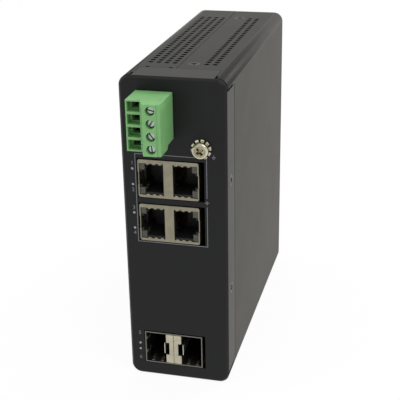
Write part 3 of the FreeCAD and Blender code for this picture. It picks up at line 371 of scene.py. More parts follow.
@dataclass(frozen=True)
class Plating(Finish):
    """Bright or satin plate on stamped or turned metal."""

    roughness: float
    stretch: Place = (1.0, 1.0, 0.1)
    streak: float = 0.5
    streak_gloss: Pair = (-0.05, 0.08)
    depth: float = 0.004
    relief: float = 0.6
    smudge: float = 2.6
    smudge_gloss: Pair = (0.06, -0.02)
    tarnish: Pair = (0.82, 1.0)
    # painted shade: colour shares, grain, cover and dulling of the darkening in screw drives and on a
    # marked head's flat
    painted_shade: Colour = (0.48, 0.46, 0.36)
    shade_grain: float = 0.9
    shade_cover: Pair = (0.4, 1.5)
    shade_dulling: float = 0.12

    def material(self) -> bpy.types.Material:
        """Makes the material: drawn streaks, dull smudges, a slight tarnish and painted shade where the
        mesh is marked.

        Returns:
            The material.
        """
        shader = Shader.paint(self.name)
        streak = shader.noise(self.streak, Shader.CLOUDY, self.stretch)
        smudge = shader.noise(self.smudge, Shader.CLOUDY)
        plate = shader.shades(smudge, self.colour, self.tarnish)
        # painted shade: the marked drives and head flats are darkened, mottled by a noise
        painted_shade = shader.mark(PAINTED_SHADE) * shader.spread(shader.noise(self.shade_grain), self.shade_cover)
        shade_colour = tuple(channel * share for channel, share in zip(self.colour, self.painted_shade))
        gloss = shader.spread(streak, self.streak_gloss, self.roughness)
        return shader.finish({
            "Base Color": shader.blend(painted_shade, plate, shade_colour),
            "Metallic": 1.0,
            "Roughness": gloss + shader.spread(smudge, self.smudge_gloss) + painted_shade * self.shade_dulling,
            "Normal": shader.bump(streak, self.depth, self.relief),
        })


@dataclass(frozen=True)
class Moulding(Finish):
    """Moulded plastic with a spark-eroded skin."""

    roughness: float
    mottle: float = 0.12
    flow: float = 4.5
    grain: float = 0.22
    grain_share: float = 0.5
    gloss: Pair = (-0.06, 0.06)
    depth: float = 0.006
    specular: float = 0.5
    glow: float = 0.0
    glow_depth: float = 2.0

    def material(self) -> bpy.types.Material:
        """Makes the material: a fine skin, flow clouds in the colour and uneven gloss.

        Returns:
            The material.
        """
        shader = Shader.paint(self.name)
        skin = shader.noise(self.grain)
        flow = shader.noise(self.flow, Shader.CLOUDY)
        uneven = flow * (1.0 - self.grain_share) + skin * self.grain_share
        return shader.finish({
            "Base Color": shader.shades(flow, self.colour, (1.0 - self.mottle, 1.0 + self.mottle)),
            "Roughness": shader.spread(uneven, self.gloss, self.roughness),
            "Specular IOR Level": self.specular,
            "Subsurface Weight": self.glow,
            "Subsurface Radius": self.colour,
            "Subsurface Scale": self.glow_depth * MM,
            "Normal": shader.bump(skin, self.depth),
        })


@dataclass(frozen=True)
class ClearMoulding(Finish):
    """Clear or frosted plastic that carries light from a lamp behind it."""

    roughness: float
    clearness: float
    ior: float = 1.49
    ripple: float = 0.8
    ripple_gloss: Pair = (-0.05, 0.08)
    depth: float = 0.01
    haze: float = 1.6
    haze_shades: Pair = (0.8, 1.0)

    def material(self) -> bpy.types.Material:
        """Makes the material: clear plastic with ripples and a hazy core.

        Returns:
            The material.
        """
        shader = Shader.paint(self.name)
        ripple = shader.noise(self.ripple)
        return shader.finish({
            "Base Color": shader.shades(shader.noise(self.haze), self.colour, self.haze_shades),
            "Roughness": shader.spread(ripple, self.ripple_gloss, self.roughness),
            "Transmission Weight": self.clearness,
            "IOR": self.ior,
            "Normal": shader.bump(ripple, self.depth),
        })


@dataclass(frozen=True)
class Ink(Finish):
    """Screen print on the painted panel."""

    grain: float = 0.35
    cover: Pair = (0.72, 1.0)
    gloss_grain: float = 0.6
    roughness: Pair = (0.5, 0.7)

    def material(self) -> bpy.types.Material:
        """Makes the material: matt ink that is thin in places.

        Returns:
            The material.
        """
        shader = Shader.paint(self.name)
        return shader.finish({
            "Base Color": shader.shades(shader.noise(self.grain), self.colour, self.cover),
            "Roughness": shader.spread(shader.noise(self.gloss_grain), self.roughness),
        })


class Finishes:
    """Every finish of the object, made once: a name, a colour, a roughness and what sets it apart."""

    PAINT = PowderCoat("case_paint", (0.0062, 0.0064, 0.0068), 0.46, ior=1.26)
    PANEL = PowderCoat("panel_paint", (0.0062, 0.0064, 0.0068), 0.45, ior=1.31)
    SCREW_BLACK = PowderCoat("black_screw", (0.008, 0.008, 0.0085), 0.36, ior=1.32, grain=0.2, depth=0.004)
    NICKEL = Plating("bright_screw", (0.62, 0.585, 0.46), 0.17)
    ZINC = Plating("clamp_steel", (0.45, 0.52, 0.48), 0.28)
    # painted shade: tinned brass made near black, so the contacts deep in the plug show as dark holes
    SHADED_TIN = Plating("tinned_brass", (0.12, 0.11, 0.085), 0.4)
    SHIELD = Plating("shield_nickel", (0.29, 0.268, 0.197), 0.36, stretch=(1.0, 1.0, 0.12))
    CAGE = Plating("cage_steel", (0.2, 0.192, 0.17), 0.36, stretch=(1.0, 0.12, 1.0))
    CREAM = Plating("plate_cream", (0.52, 0.485, 0.37), 0.4, stretch=(1.0, 1.0, 0.12))
    LATCH = Plating("latch_nickel", (0.78, 0.76, 0.68), 0.3)
    GOLD = Plating("contact_gold", (0.62, 0.43, 0.16), 0.25)
    SPRING = Plating("spring_steel", (0.5, 0.5, 0.5), 0.3)
    BRASS = Plating("standoff_brass", (0.66, 0.5, 0.23), 0.3)
    SINK = Plating("sink_aluminium", (0.55, 0.56, 0.58), 0.4)
    CAN = Plating("can_aluminium", (0.6, 0.61, 0.63), 0.3)
    GREEN = Moulding("plug_green", (0.168, 0.385, 0.142), 0.42, mottle=0.07, glow=0.3)
    BLACK = Moulding("insert_black", (0.009, 0.0088, 0.0092), 0.5, specular=0.35)
    CLIP = Moulding("clip_black", (0.02, 0.02, 0.021), 0.5, mottle=0.15, grain=0.35, depth=0.012)
    CHIP = Moulding("chip_black", (0.02, 0.02, 0.021), 0.55)
    BOARD = Moulding("board_green", (0.012, 0.1, 0.03), 0.35, mottle=0.2)
    FERRITE = Moulding("ferrite", (0.05, 0.05, 0.053), 0.6, mottle=0.2)
    DIODE = Moulding("diode_body", (0.7, 0.68, 0.58), 0.3)
    LENS = ClearMoulding("lens_clear", (0.083, 0.083, 0.062), 0.24, clearness=0.3)
    PIPE = ClearMoulding("pipe_clear", (0.36, 0.38, 0.4), 0.3, clearness=0.15)
    PRINT = Ink("panel_ink", (0.19, 0.195, 0.225))

    def __init__(self) -> None:
        """Starts with no material made."""
        self._made: dict[str, bpy.types.Material] = {}

    def of(self, finish: Finish) -> bpy.types.Material:
        """Gives a finish's material, made at its first use.

        Args:
            finish: One of the finishes.

        Returns:
            Its material.
        """
        if finish.name not in self._made:
            self._made[finish.name] = finish.material()
        return self._made[finish.name]


# modelling


class Bench:
    """Modelling moves made with Blender's own operators."""

    # an edge that turns by more than this is sharp
    SHARP = math.radians(32)
    # a face looks along an axis if its normal's share of that axis is more than this
    ALONG = 0.9
    # faces across a rounded edge
    SEGMENTS = 2

    @staticmethod
    def clear() -> None:
        """Deselects everything."""
        bpy.ops.object.select_all(action="DESELECT")

    @classmethod
    def alone(cls, piece: Piece) -> None:
        """Makes a piece the only selected and the active object.

        Args:
            piece: The piece.
        """
        cls.clear()
        piece.select_set(True)
        bpy.context.view_layer.objects.active = piece

    @staticmethod
    def settle(name: str) -> Piece:
        """Names the active piece and takes its place into its mesh.

        Args:
            name: Name of the piece.

        Returns:
            The piece, at the origin.
        """
        piece = bpy.context.active_object
        piece.name = name
        piece.data.name = name
        bpy.ops.object.transform_apply(location=True, rotation=True, scale=True)
        return piece

    @classmethod
    def cylinder(cls, name: str, across: float, low: float, high: float, sides: int = 48) -> Piece:
        """Adds a cylinder along Z.

        Args:
            name: Name of the piece.
            across: Diameter.
            low: Level of its lower end.
            high: Level of its upper end.
            sides: Number of its sides.

        Returns:
            The new piece.
        """
        cls.clear()
        middle = (0.0, 0.0, (low + high) / 2 * MM)
        bpy.ops.mesh.primitive_cylinder_add(
            vertices=sides, radius=across / 2 * MM, depth=(high - low) * MM, location=middle
        )
        return cls.settle(name)

    @classmethod
    def block(cls, name: str, low: Place, high: Place) -> Piece:
        """Adds a block between two corners.

        Args:
            name: Name of the piece.
            low: Its lowest corner.
            high: Its highest corner.

        Returns:
            The new piece.
        """
        cls.clear()
        middle = (Vector(low) + Vector(high)) / 2 * MM
        bpy.ops.mesh.primitive_cube_add(size=1.0, location=middle, scale=(Vector(high) - Vector(low)) * MM)
        return cls.settle(name)

    @classmethod
    def pick(cls, piece: Piece, test: Callable[[bpy.types.MeshPolygon], bool]) -> None:
        """Opens a piece in edit mode with the faces selected that pass a test.

        Args:
            piece: The piece.
            test: Test of one face, by its place or normal.
        """
        cls.alone(piece)
        bpy.ops.object.mode_set(mode="EDIT")
        bpy.ops.mesh.select_mode(type="FACE")
        bpy.ops.mesh.select_all(action="DESELECT")
        bpy.ops.object.mode_set(mode="OBJECT")
        for face in piece.data.polygons:
            face.select = test(face)
        bpy.ops.object.mode_set(mode="EDIT")

    @staticmethod
    def draw(offset: Sequence[float]) -> None:
        """Draws the picked faces out by an offset."""
        step = tuple(length * MM for length in offset)
        bpy.ops.mesh.extrude_region_move(TRANSFORM_OT_translate={"value": step})

    @staticmethod
    def close() -> None:
        """Leaves edit mode."""
        bpy.ops.object.mode_set(mode="OBJECT")

    @classmethod
    def dome(cls, piece: Piece, radius: float, steps: int) -> None:
        """Rounds the rim of a turned piece's upper end.

        Args:
            piece: The piece.
            radius: Width of the rounding.
            steps: Faces across it.
        """
        cls.pick(piece, lambda face: face.normal.z > cls.ALONG)
        bpy.ops.mesh.bevel(offset=radius * MM, segments=steps, affect="EDGES")
        cls.close()

    @classmethod
    def hollow(cls, piece: Piece, axis: Axis, rim: float) -> None:
        """Opens a flat piece into a ring or frame.

        Args:
            piece: The piece.
            axis: Axis along which it is opened.
            rim: Width of what is left round the hole.
        """
        cls.pick(piece, lambda face: abs(face.normal[axis.value]) > cls.ALONG)
        bpy.ops.mesh.inset(thickness=rim * MM, use_individual=True)
        bpy.ops.mesh.bridge_edge_loops()
        cls.close()

    @classmethod
    def apply(cls, piece: Piece, change: bpy.types.Modifier) -> None:
        """Applies a modifier to its piece."""
        cls.alone(piece)
        bpy.ops.object.modifier_apply(modifier=change.name)

    @classmethod
    def carve(cls, piece: Piece, cutter: Piece) -> None:
        """Cuts one piece out of another and removes the cutter.

        Args:
            piece: The piece that is cut.
            cutter: The shape that is taken away.
        """
        cut = piece.modifiers.new("carve", "BOOLEAN")
        cut.operation = "DIFFERENCE"
        cut.solver = "EXACT"
        cut.object = cutter
        cls.apply(piece, cut)
        bpy.data.objects.remove(cutter)

    @classmethod
    def rounding(cls, piece: Piece, width: float) -> bpy.types.Modifier:
        """Adds a modifier that rounds a piece's sharp edges.

        Args:
            piece: The piece.
            width: Width of the rounding.

        Returns:
            The modifier.
        """
        edge = piece.modifiers.new("edge", "BEVEL")
        edge.width = width * MM
        edge.segments = cls.SEGMENTS
        edge.limit_method = "ANGLE"
        edge.angle_limit = cls.SHARP
        return edge

    @classmethod
    def smooth(cls, piece: Piece) -> None:
        """Shades a piece smoothly, apart from its sharp edges."""
        cls.alone(piece)
        bpy.ops.object.shade_smooth_by_angle(angle=cls.SHARP)

    @classmethod
    def trim(cls, piece: Piece, width: float) -> None:
        """Rounds a piece's sharp edges to a width and shades it smoothly."""
        cls.apply(piece, cls.rounding(piece, width))
        cls.smooth(piece)

    @classmethod
    def spread(cls, name: str, model: Piece, places: Iterable[Matrix]) -> Piece:
        """Copies a model to several places and joins the copies into one piece.

        Args:
            name: Name of the new piece.
            model: The model, which is removed.
            places: Placement of each copy.

        Returns:
            The joined piece, at the origin.
        """
        copies = []
        for place in places:
            copy = model.copy()
            copy.data = model.data.copy()
            bpy.context.scene.collection.objects.link(copy)
            copy.matrix_world = place
            copies.append(copy)
        bpy.data.objects.remove(model)
        return cls.join(name, copies)

    @classmethod
    def join(cls, name: str, pieces: Sequence[Piece]) -> Piece:
        """Joins pieces into one.

        Args:
            name: Name of the joined piece.
            pieces: The pieces.

        Returns:
            The joined piece, at the origin.
        """
        cls.alone(pieces[0])
        for piece in pieces[1:]:
            piece.select_set(True)
        if len(pieces) > 1:
            bpy.ops.object.join()
        return cls.settle(name)


@dataclass(frozen=True)
class Screw:
    """A screw along Z with the top of its head at the origin."""

    head: float
    rise: float
    shank: float
    length: float
    recess: Recess
    drive: float
    blade: float
    depth: float
    dome: float
    cone: bool = False
    # share of painted shade on the head's flat, standing in for a dark reflection there
    painted_shade: float = 0.0
    dome_steps: int = 6
    taper: float = 0.55
    edge: float = 0.05

    # painted shade in the drive stays within these shares of the drive's and head's width and the drive's
    # depth
    DRIVE_SHARE = 1.02
    HEAD_SHARE = 0.98
    DEPTH_SHARE = 1.05
    # levels under the head's top where the painted shade in the drive starts and where the painted shade on
    # the head ends
    DRIVE_TOP = 0.2
    HEAD_SKIN = 0.1
    # share of the dome's width that the painted shade on the head leaves bright
    DOME_SHARE = 0.9

    def model(self, name: str) -> Piece:
        """Models the screw.

        Args:
            name: Name of the piece.

        Returns:
            The modelled screw.
        """
        piece = Bench.cylinder(name, self.head, -self.rise, 0.0)
        self._grow_shank(piece)
        Bench.dome(piece, self.dome, self.dome_steps)
        Bench.carve(piece, self._cutter())
        Bench.trim(piece, self.edge)
        self._paint_shade(piece)
        return piece

    def rows(self, low: float, high: float) -> Pair:
        """Gives the middles of the first and the last screw of a row between two limits."""
        return low + self.head / 2, high - self.head / 2

    def _paint_shade(self, piece: Piece) -> None:
        """Marks where painted shade darkens the drive and, where the screw asks for it, the flat of its
        head, which stands for a dark reflection there.

        Args:
            piece: The screw.
        """
        reach = min(max(self.drive, self.blade) * self.DRIVE_SHARE, self.head * self.HEAD_SHARE) / 2
        flat = self.head / 2 - self.dome * self.DOME_SHARE
        marks = piece.data.attributes.new(PAINTED_SHADE, "FLOAT", "POINT")
        for vertex, mark in zip(piece.data.vertices, marks.data):
            x, y, z = vertex.co / MM
            out = math.hypot(x, y)
            if -self.depth * self.DEPTH_SHARE < z < -self.DRIVE_TOP and out < reach:
                mark.value = 1.0
            elif z > -self.HEAD_SKIN and out < flat:
                mark.value = self.painted_shade

    def _grow_shank(self, piece: Piece) -> None:
        """Draws the shank out of the head's underside, from a cone on a countersunk head.

        Args:
            piece: The head that becomes the screw.
        """
        Bench.pick(piece, lambda face: face.normal.z < -Bench.ALONG)
        if self.cone:
            share = self.shank / self.head
            bpy.ops.transform.resize(value=(share, share, 1.0))
        else:
            bpy.ops.mesh.inset(thickness=(self.head - self.shank) / 2 * MM)
        Bench.draw((0.0, 0.0, self.rise - self.length))
        Bench.close()

    def _cutter(self) -> Piece:
        """Makes the shape that cuts the drive into the head: a slot, or a cross that tapers downwards.

        Returns:
            The shape.
        """
        slotted = self.recess is Recess.SLOT
        half = self.blade / 2
        reach = self.drive / 2
        side = reach if slotted else half
        cutter = Bench.block("drive", (-half, -side, -self.depth), (half, side, self.rise))
        if not slotted:
            Bench.pick(cutter, lambda face: abs(face.normal.z) < Bench.ALONG)
            bpy.ops.mesh.extrude_faces_move(TRANSFORM_OT_shrink_fatten={"value": (reach - half) * MM})
            Bench.close()
            Bench.pick(cutter, lambda face: face.normal.z < -Bench.ALONG)
            bpy.ops.transform.resize(value=(self.taper, self.taper, 1.0))
            Bench.close()
        return cutter


def countersunk(length: float) -> Screw:
    """Gives the countersunk screw that the case and the clip share.

    Args:
        length: Length of the screw with its head.

    Returns:
        The screw.
    """
    return Screw(
        head=5.6, rise=1.1, shank=3.4, length=length, recess=Recess.CROSS,
        drive=3.4, blade=1.2, depth=1.5, dome=0.1, cone=True,
    )


# dressing


class Dresser:
    """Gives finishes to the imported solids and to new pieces."""

    def __init__(self, finishes: Finishes) -> None:
        """Keeps the finishes."""
        self.finishes = finishes
        self.nodes: dict[str, Piece] = frame["nodes"]

    def node(self, name: str, finish: Finish, edge: float = 0.0) -> None:
        """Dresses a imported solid, whose edges modifiers round so that they catch the light.

        Args:
            name: Name of the node.
            finish: Its finish.
            edge: Width of the rounding, 0 for none.
        """
        solid = self.nodes[name]
        material = self.finishes.of(finish)
        for place in solid.material_slots:
            place.material = material
        if edge:
            weld = solid.modifiers.new("weld", "WELD")
            weld.merge_threshold = NEAR
            Bench.rounding(solid, edge).harden_normals = True
        LOG.info("%s dressed in %s", name, finish.name)

    def piece(self, made: Piece, finish: Finish, body: Body, slot: Slot, *nodes: str) -> None:
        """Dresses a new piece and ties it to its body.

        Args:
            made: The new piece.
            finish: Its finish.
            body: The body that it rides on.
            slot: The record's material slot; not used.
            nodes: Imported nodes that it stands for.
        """
        made.data.materials.clear()
        made.data.materials.append(self.finishes.of(finish))
        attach(made, body.value)
        if nodes:
            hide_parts(*nodes)
        LOG.info("%s made, %d faces", made.name, len(made.data.polygons))


def span(node: str) -> tuple[Vector, Vector, Vector]:
    """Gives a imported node's lowest corner, middle and highest corner."""
    low, high = (Vector(corner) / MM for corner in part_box(node))
    return low, (low + high) / 2, high


# sub-assemblies


@dataclass
class SubAssembly(ABC):
    """A group of pieces that are built and dressed together."""

    dresser: Dresser

    @abstractmethod
    def build(self) -> None:
        """Makes the new pieces and dresses all pieces of the group."""


@dataclass
class FoldedCase(SubAssembly):
    """Painted sheet-metal case with its countersunk screws."""

    edge: float = 0.16
    screw: Screw = countersunk(4.2)
    cover_spins: tuple[Pair, ...] = ((25.0, 10.0), (65.0, 60.0))
    panel_spins: tuple[Pair, ...] = ((15.0, 30.0), (50.0, 50.0))

    def build(self) -> None:
        """Dresses the sheets and makes the screws that hold them."""
        self.dresser.node("front_panel", Finishes.PANEL, self.edge)
        self.dresser.node("chassis", Finishes.PAINT, self.edge)
        self.dresser.node("side_cover", Finishes.PAINT, self.edge)
        for make, node in ((self._cover_screws, "cover_screws"), (self._panel_screws, "panel_screws")):
            self.dresser.piece(make(), Finishes.SCREW_BLACK, Body.CASE, Slot.BLACK_SCREW, node)

    def _cover_screws(self) -> Piece:
        """Makes the screws in the top and bottom.

        Returns:
            The screws.
        """
        low, middle, high = span("cover_screws")
        places = []
        for y, (top, bottom) in zip(self.screw.rows(low.y, high.y), self.cover_spins):
            places.append(Facing.UP.at((middle.x, y, high.z), top))
            places.append(Facing.DOWN.at((middle.x, y, low.z), bottom))
        return Bench.spread("cover_screw_set", self.screw.model("cover_screw"), places)

    def _panel_screws(self) -> Piece:
        """Makes the screws in the front panel's side flanges.

        Returns:
            The screws.
        """
        low, middle, high = span("panel_screws")
        places = []
        for z, (right, left) in zip(self.screw.rows(low.z, high.z), self.panel_spins):
            places.append(Facing.RIGHT.at((high.x, middle.y, z), right))
            places.append(Facing.LEFT.at((low.x, middle.y, z), left))
        return Bench.spread("panel_screw_set", self.screw.model("panel_screw"), places)


@dataclass
class PowerTerminal(SubAssembly):
    """Green pluggable terminal with slotted clamp screws."""

    edge: float = 0.22
    screw: Screw = Screw(
        head=3.05, rise=2.2, shank=2.2, length=13.0, recess=Recess.SLOT,
        drive=3.6, blade=0.5, depth=0.9, dome=0.3,
    )
    spins: tuple[float, ...] = (6.0, 38.0, -32.0, 78.0)

    def build(self) -> None:
        """Dresses the mouldings and contacts and makes the clamp screws."""
        for name in ("terminal_plug", "terminal_header"):
            self.dresser.node(name, Finishes.GREEN, self.edge)
        # the contacts take the tin darkened as painted shade
        for name in ("wire_clamps", "pin_sockets", "header_pins"):
            self.dresser.node(name, Finishes.SHADED_TIN)
        self.dresser.piece(self._clamp_screws(), Finishes.ZINC, Body.PLUG, Slot.CLAMP_STEEL, "clamp_screws")

    def _clamp_screws(self) -> Piece:
        """Makes the row of clamp screws.

        Returns:
            The screws.
        """
        low, middle, high = span("clamp_screws")
        first, last = self.screw.rows(low.z, high.z)
        step = (last - first) / (len(self.spins) - 1)
        places = [
            Facing.FRONT.at((middle.x, low.y, first + way * step), spin)
            for way, spin in enumerate(self.spins)
        ]
        return Bench.spread("clamp_screw_set", self.screw.model("clamp_screw"), places)


@dataclass
class EarthPoint(SubAssembly):
    """Pan-head earth screw on a toothed lock washer."""

    # the head's flat takes full painted shade, standing in for the dark reflection on it
    screw: Screw = Screw(
        head=6.9, rise=2.6, shank=3.9, length=10.6, recess=Recess.CROSS,
        drive=4.6, blade=1.45, depth=1.8, dome=1.1, painted_shade=1.0,
    )
    screw_spin: float = 38.0
    nut_edge: float = 0.15
    washer_across: float = 8.3
    washer_root: float = 6.6
    washer_bore: float = 4.3
    washer_gauge: float = 0.5
    washer_edge: float = 0.06
    washer_spin: float = 9.0
    teeth: int = 10
    sides_per_tooth: int = 7
    tooth_share: float = 0.33
    tooth_twist: float = 14.0

    # shares of the root's diameter between which the ring's rim lies, and the most that a rim face tilts
    RIM = (0.45, 0.51)
    RIM_TILT = 0.3

    def build(self) -> None:
        """Makes the screw and washer and dresses the nut."""
        low, middle, _ = span("earth_screw")
        seats = [Facing.FRONT.at((middle.x, low.y, middle.z), self.screw_spin)]
        screw = Bench.spread("earth_screw_fine", self.screw.model("earth_screw_model"), seats)
        self.dresser.piece(screw, Finishes.NICKEL, Body.CASE, Slot.BRIGHT_SCREW, "earth_screw")
        seats = [Facing.FRONT.at((middle.x, span("earth_washer")[1].y, middle.z), self.washer_spin)]
        washer = Bench.spread("earth_washer_fine", self._washer(), seats)
        self.dresser.piece(washer, Finishes.NICKEL, Body.CASE, Slot.BRIGHT_SCREW, "earth_washer")
        self.dresser.node("earth_nut", Finishes.NICKEL, self.nut_edge)

    def _washer(self) -> Piece:
        """Models the washer: a ring whose teeth are drawn out and twisted.

        Returns:
            The washer.
        """
        half = self.washer_gauge / 2
        washer = Bench.cylinder("washer", self.washer_root, -half, half, self.teeth * self.sides_per_tooth)
        Bench.hollow(washer, Axis.Z, (self.washer_root - self.washer_bore) / 2)
        for tooth in range(self.teeth):
            self._draw_tooth(washer, math.tau * tooth / self.teeth)
        Bench.trim(washer, self.washer_edge)
        return washer

    def _draw_tooth(self, washer: Piece, turn: float) -> None:
        """Draws one tooth out of the ring's rim and twists its end.

        Args:
            washer: The ring.
            turn: Where the tooth stands on the ring, in radians.
        """
        out = Vector((math.cos(turn), math.sin(turn), 0.0))
        up = Vector((0.0, 0.0, 1.0))
        width = math.cos(math.tau / self.teeth * self.tooth_share)
        inner, outer = (self.washer_root * share * MM for share in self.RIM)

        def on_tooth(face: bpy.types.MeshPolygon) -> bool:
            """Tells whether a face lies on the rim where the tooth stands.

            Args:
                face: The face.

            Returns:
                True where it does.
            """
            flat = Vector((face.center.x, face.center.y, 0.0))
            on_rim = abs(face.normal.z) < self.RIM_TILT and inner < flat.length < outer
            return on_rim and flat.normalized().dot(out) > width

        Bench.pick(washer, on_tooth)
        Bench.draw(out * ((self.washer_across - self.washer_root) / 2))
        bpy.ops.transform.rotate(
            value=math.radians(self.tooth_twist),
            orient_axis="X",
            orient_matrix=Matrix((out, up.cross(out), up)).transposed(),
            orient_type="GLOBAL",
            orient_matrix_type="GLOBAL",
            center_override=out * (self.washer_across / 2 * MM),
        )
        Bench.close()


@dataclass
class JackStack(SubAssembly):
    """Two shielded jack modules, each with its insert, contacts and lamp lenses."""

    levels: tuple[str, ...] = ("lower", "upper")
    edge: float = 0.1
    lens_edge: float = 0.15

    def build(self) -> None:
        """Dresses the modules."""
        for level in self.levels:
            self.dresser.node(f"jack_shield_{level}", Finishes.SHIELD, self.edge)
            self.dresser.node(f"jack_insert_{level}", Finishes.BLACK, self.edge)
            self.dresser.node(f"jack_contacts_{level}", Finishes.GOLD)
            self.dresser.node(f"jack_lenses_{level}", Finishes.LENS, self.lens_edge)


@dataclass
class FibreCage(SubAssembly):
    """Stacked cage for two fibre modules, with sprung fingers behind its mouth."""

    edge: float = 0.1
    latch_edge: float = 0.06
    socket_edge: float = 0.15
    wall: float = 0.5
    port: float = 8.8
    setback: float = 0.9
    finger_width: float = 1.3
    finger_gauge: float = 0.14
    finger_edge: float = 0.05
    root: float = 0.5
    runs: tuple[Pair, ...] = ((1.6, 0.42), (0.8, 0.06), (2.2, -0.42))
    shares: tuple[float, ...] = (0.3, 0.76)

    def build(self) -> None:
        """Dresses the cage, its plates, latches and sockets, and makes the fingers."""
        self.dresser.node("sfp_cage", Finishes.CAGE, self.edge)
        self.dresser.node("sfp_plates", Finishes.CREAM, self.edge)
        self.dresser.node("sfp_latches", Finishes.LATCH, self.latch_edge)
        self.dresser.node("sfp_sockets", Finishes.BLACK, self.socket_edge)
        self.dresser.piece(self._fingers(), Finishes.LATCH, Body.CASE, Slot.CAGE_STEEL)

    def _fingers(self) -> Piece:
        """Sets the fingers on the floor and the outer wall of each port.

        Returns:
            The fingers.
        """
        low, _, high = span("sfp_cage")
        y = low.y + self.setback
        floor = low.z + self.wall
        tall = high.z - low.z - 2 * self.wall
        places = []
        for start in (low.x + self.wall, high.x - self.wall - self.port):
            places += [Facing.UP.at((start + self.port * share, y, floor)) for share in self.shares]
        for facing, x in ((Facing.RIGHT, low.x + self.wall), (Facing.LEFT, high.x - self.wall)):
            places += [facing.at((x, y, floor + tall * share)) for share in self.shares]
        return Bench.spread("cage_fingers", self._finger(), places)

    def _finger(self) -> Piece:
        """Models a finger along Y: a strip that rises off its wall, bulges and comes back to it.

        Returns:
            The finger.
        """
        half = self.finger_width / 2
        strip = Bench.block("finger", (-half, 0.0, 0.0), (half, self.root, self.finger_gauge))
        for run, rise in self.runs:
            end = max(vertex.co.y for vertex in strip.data.vertices)
            Bench.pick(strip, lambda face: face.center.y > end - NEAR)
            Bench.draw((0.0, run, rise))
            Bench.close()
        Bench.trim(strip, self.finger_edge)
        return strip


@dataclass
class Lamps(SubAssembly):
    """Light pipes beside the ports, with the diodes behind them."""

    across: float = 1.06
    sides: int = 32
    dome: float = 0.14
    dome_steps: int = 4
    heights: tuple[float, ...] = (12.5, 15.4, 70.3, 77.1, 89.6, 96.4)

    def build(self) -> None:
        """Makes the domed light pipes and dresses the diodes."""
        low, middle, high = span("light_pipes")
        pipe = Bench.cylinder("pipe", self.across, low.y - high.y, 0.0, self.sides)
        Bench.dome(pipe, self.dome, self.dome_steps)
        Bench.smooth(pipe)
        places = [Facing.FRONT.at((middle.x, low.y, z)) for z in self.heights]
        pipes = Bench.spread("light_pipe_set", pipe, places)
        self.dresser.piece(pipes, Finishes.PIPE, Body.CASE, Slot.PIPE_CLEAR, "light_pipes")
        self.dresser.node("indicator_diodes", Finishes.DIODE)


@dataclass
class PanelPrint(SubAssembly):
    """Screen-printed marks on the front panel."""

    film: float = 0.02
    line: float = 0.26
    left: float = -16.25
    right: float = 13.6
    bottom: float = 64.25
    top: float = 103.0
    gap: Pair = (82.0, 85.7)
    gap_clearance: float = 1.0
    figure_size: float = 2.38
    figure_steps: int = 3
    figure_x: float = -17.4
    figures: tuple[tuple[str, float], ...] = (
        ("1", 98.75), ("2", 87.25), ("3", 79.25), ("4", 68.0), ("5", 20.4), ("6", 8.3)
    )
    earth: Pair = (16.4, 103.5)
    earth_stem: float = 0.85
    earth_reaches: tuple[float, ...] = (0.85, 0.55, 0.25)
    earth_step: float = 0.42
    earth_thinning: float = 0.8
    plus: float = 0.9

    def build(self) -> None:
        """Prints the frame round the jacks, the port numbers, the earth sign and a plus."""
        for made in (self._frame(), self._numbers(), self._signs()):
            self.dresser.piece(made, Finishes.PRINT, Body.CASE, Slot.CASE_PAINT)

    def _levels(self) -> Pair:
        """Gives the outer and inner levels of the ink film along Y."""
        face = span("front_panel")[0].y
        return face - self.film, face

    def _bar(self, x: Pair, z: Pair) -> Piece:
        """Prints one bar between two sides and between two levels."""
        outer, inner = self._levels()
        return Bench.block("bar", (x[0], outer, z[0]), (x[1], inner, z[1]))

    def _frame(self) -> Piece:
        """Prints the frame, with a break in its right line.

        Returns:
            The frame.
        """
        outer, inner = self._levels()
        whole = Bench.block("port_frame", (self.left, outer, self.bottom), (self.right, inner, self.top))
        Bench.hollow(whole, Axis.Y, self.line)
        low, high = self.gap
        first = (self.right - 2 * self.line, outer - self.gap_clearance, low)
        last = (self.right + self.line, inner + self.gap_clearance, high)
        Bench.carve(whole, Bench.block("gap", first, last))
        return whole

    def _numbers(self) -> Piece:
        """Prints the port numbers beside their lamps.

        Returns:
            The numbers.
        """
        outer, inner = self._levels()
        pieces = []
        for figure, z in self.figures:
            Bench.clear()
            bpy.ops.object.text_add(location=(0.0, 0.0, 0.0))
            text = bpy.context.active_object.data
            text.body = figure
            text.size = self.figure_size * MM
            text.align_x = "CENTER"
            text.align_y = "CENTER"
            text.extrude = (inner - outer) / 2 * MM
            text.resolution_u = self.figure_steps
            bpy.ops.object.convert(target="MESH")
            piece = bpy.context.active_object
            piece.matrix_world = Facing.FRONT.at((self.figure_x, (outer + inner) / 2, z))
            pieces.append(piece)
        return Bench.join("port_numbers", pieces)

    def _signs(self) -> Piece:
        """Prints the earth sign and a plus in the frame's break.

        Returns:
            The signs.
        """
        x, z = self.earth
        half = self.line / 2
        thin = half * self.earth_thinning
        bars = [self._bar((x - half, x + half), (z, z + self.earth_stem))]
        for step, reach in enumerate(self.earth_reaches):
            level = z - step * self.earth_step
            bars.append(self._bar((x - reach, x + reach), (level - thin, level + thin)))
        x = self.right - half
        z = sum(self.gap) / 2
        bars.append(self._bar((x - self.plus, x + self.plus), (z - half, z + half)))
        bars.append(self._bar((x - half, x + half), (z - self.plus, z - half)))
        bars.append(self._bar((x - half, x + half), (z + half, z + self.plus)))
        return Bench.join("panel_signs", bars)


@dataclass
class CircuitBoard(SubAssembly):
    """Board and its components, seen only through the vents, each with its finish and edge."""

    parts: tuple[tuple[str, Finish, float], ...] = (
        ("main_board", Finishes.BOARD, 0.0),
        ("board_standoffs", Finishes.BRASS, 0.0),
        ("board_screws", Finishes.NICKEL, 0.2),
        ("switch_chip", Finishes.CHIP, 0.0),
        ("heat_sink", Finishes.SINK, 0.15),
        ("filter_capacitors", Finishes.CAN, 0.6),
        ("power_inductors", Finishes.FERRITE, 0.6),
        ("power_transformers", Finishes.FERRITE, 0.4),
    )

    def build(self) -> None:
        """Dresses the board and what it carries."""
        for name, finish, edge in self.parts:
            self.dresser.node(name, finish, edge)


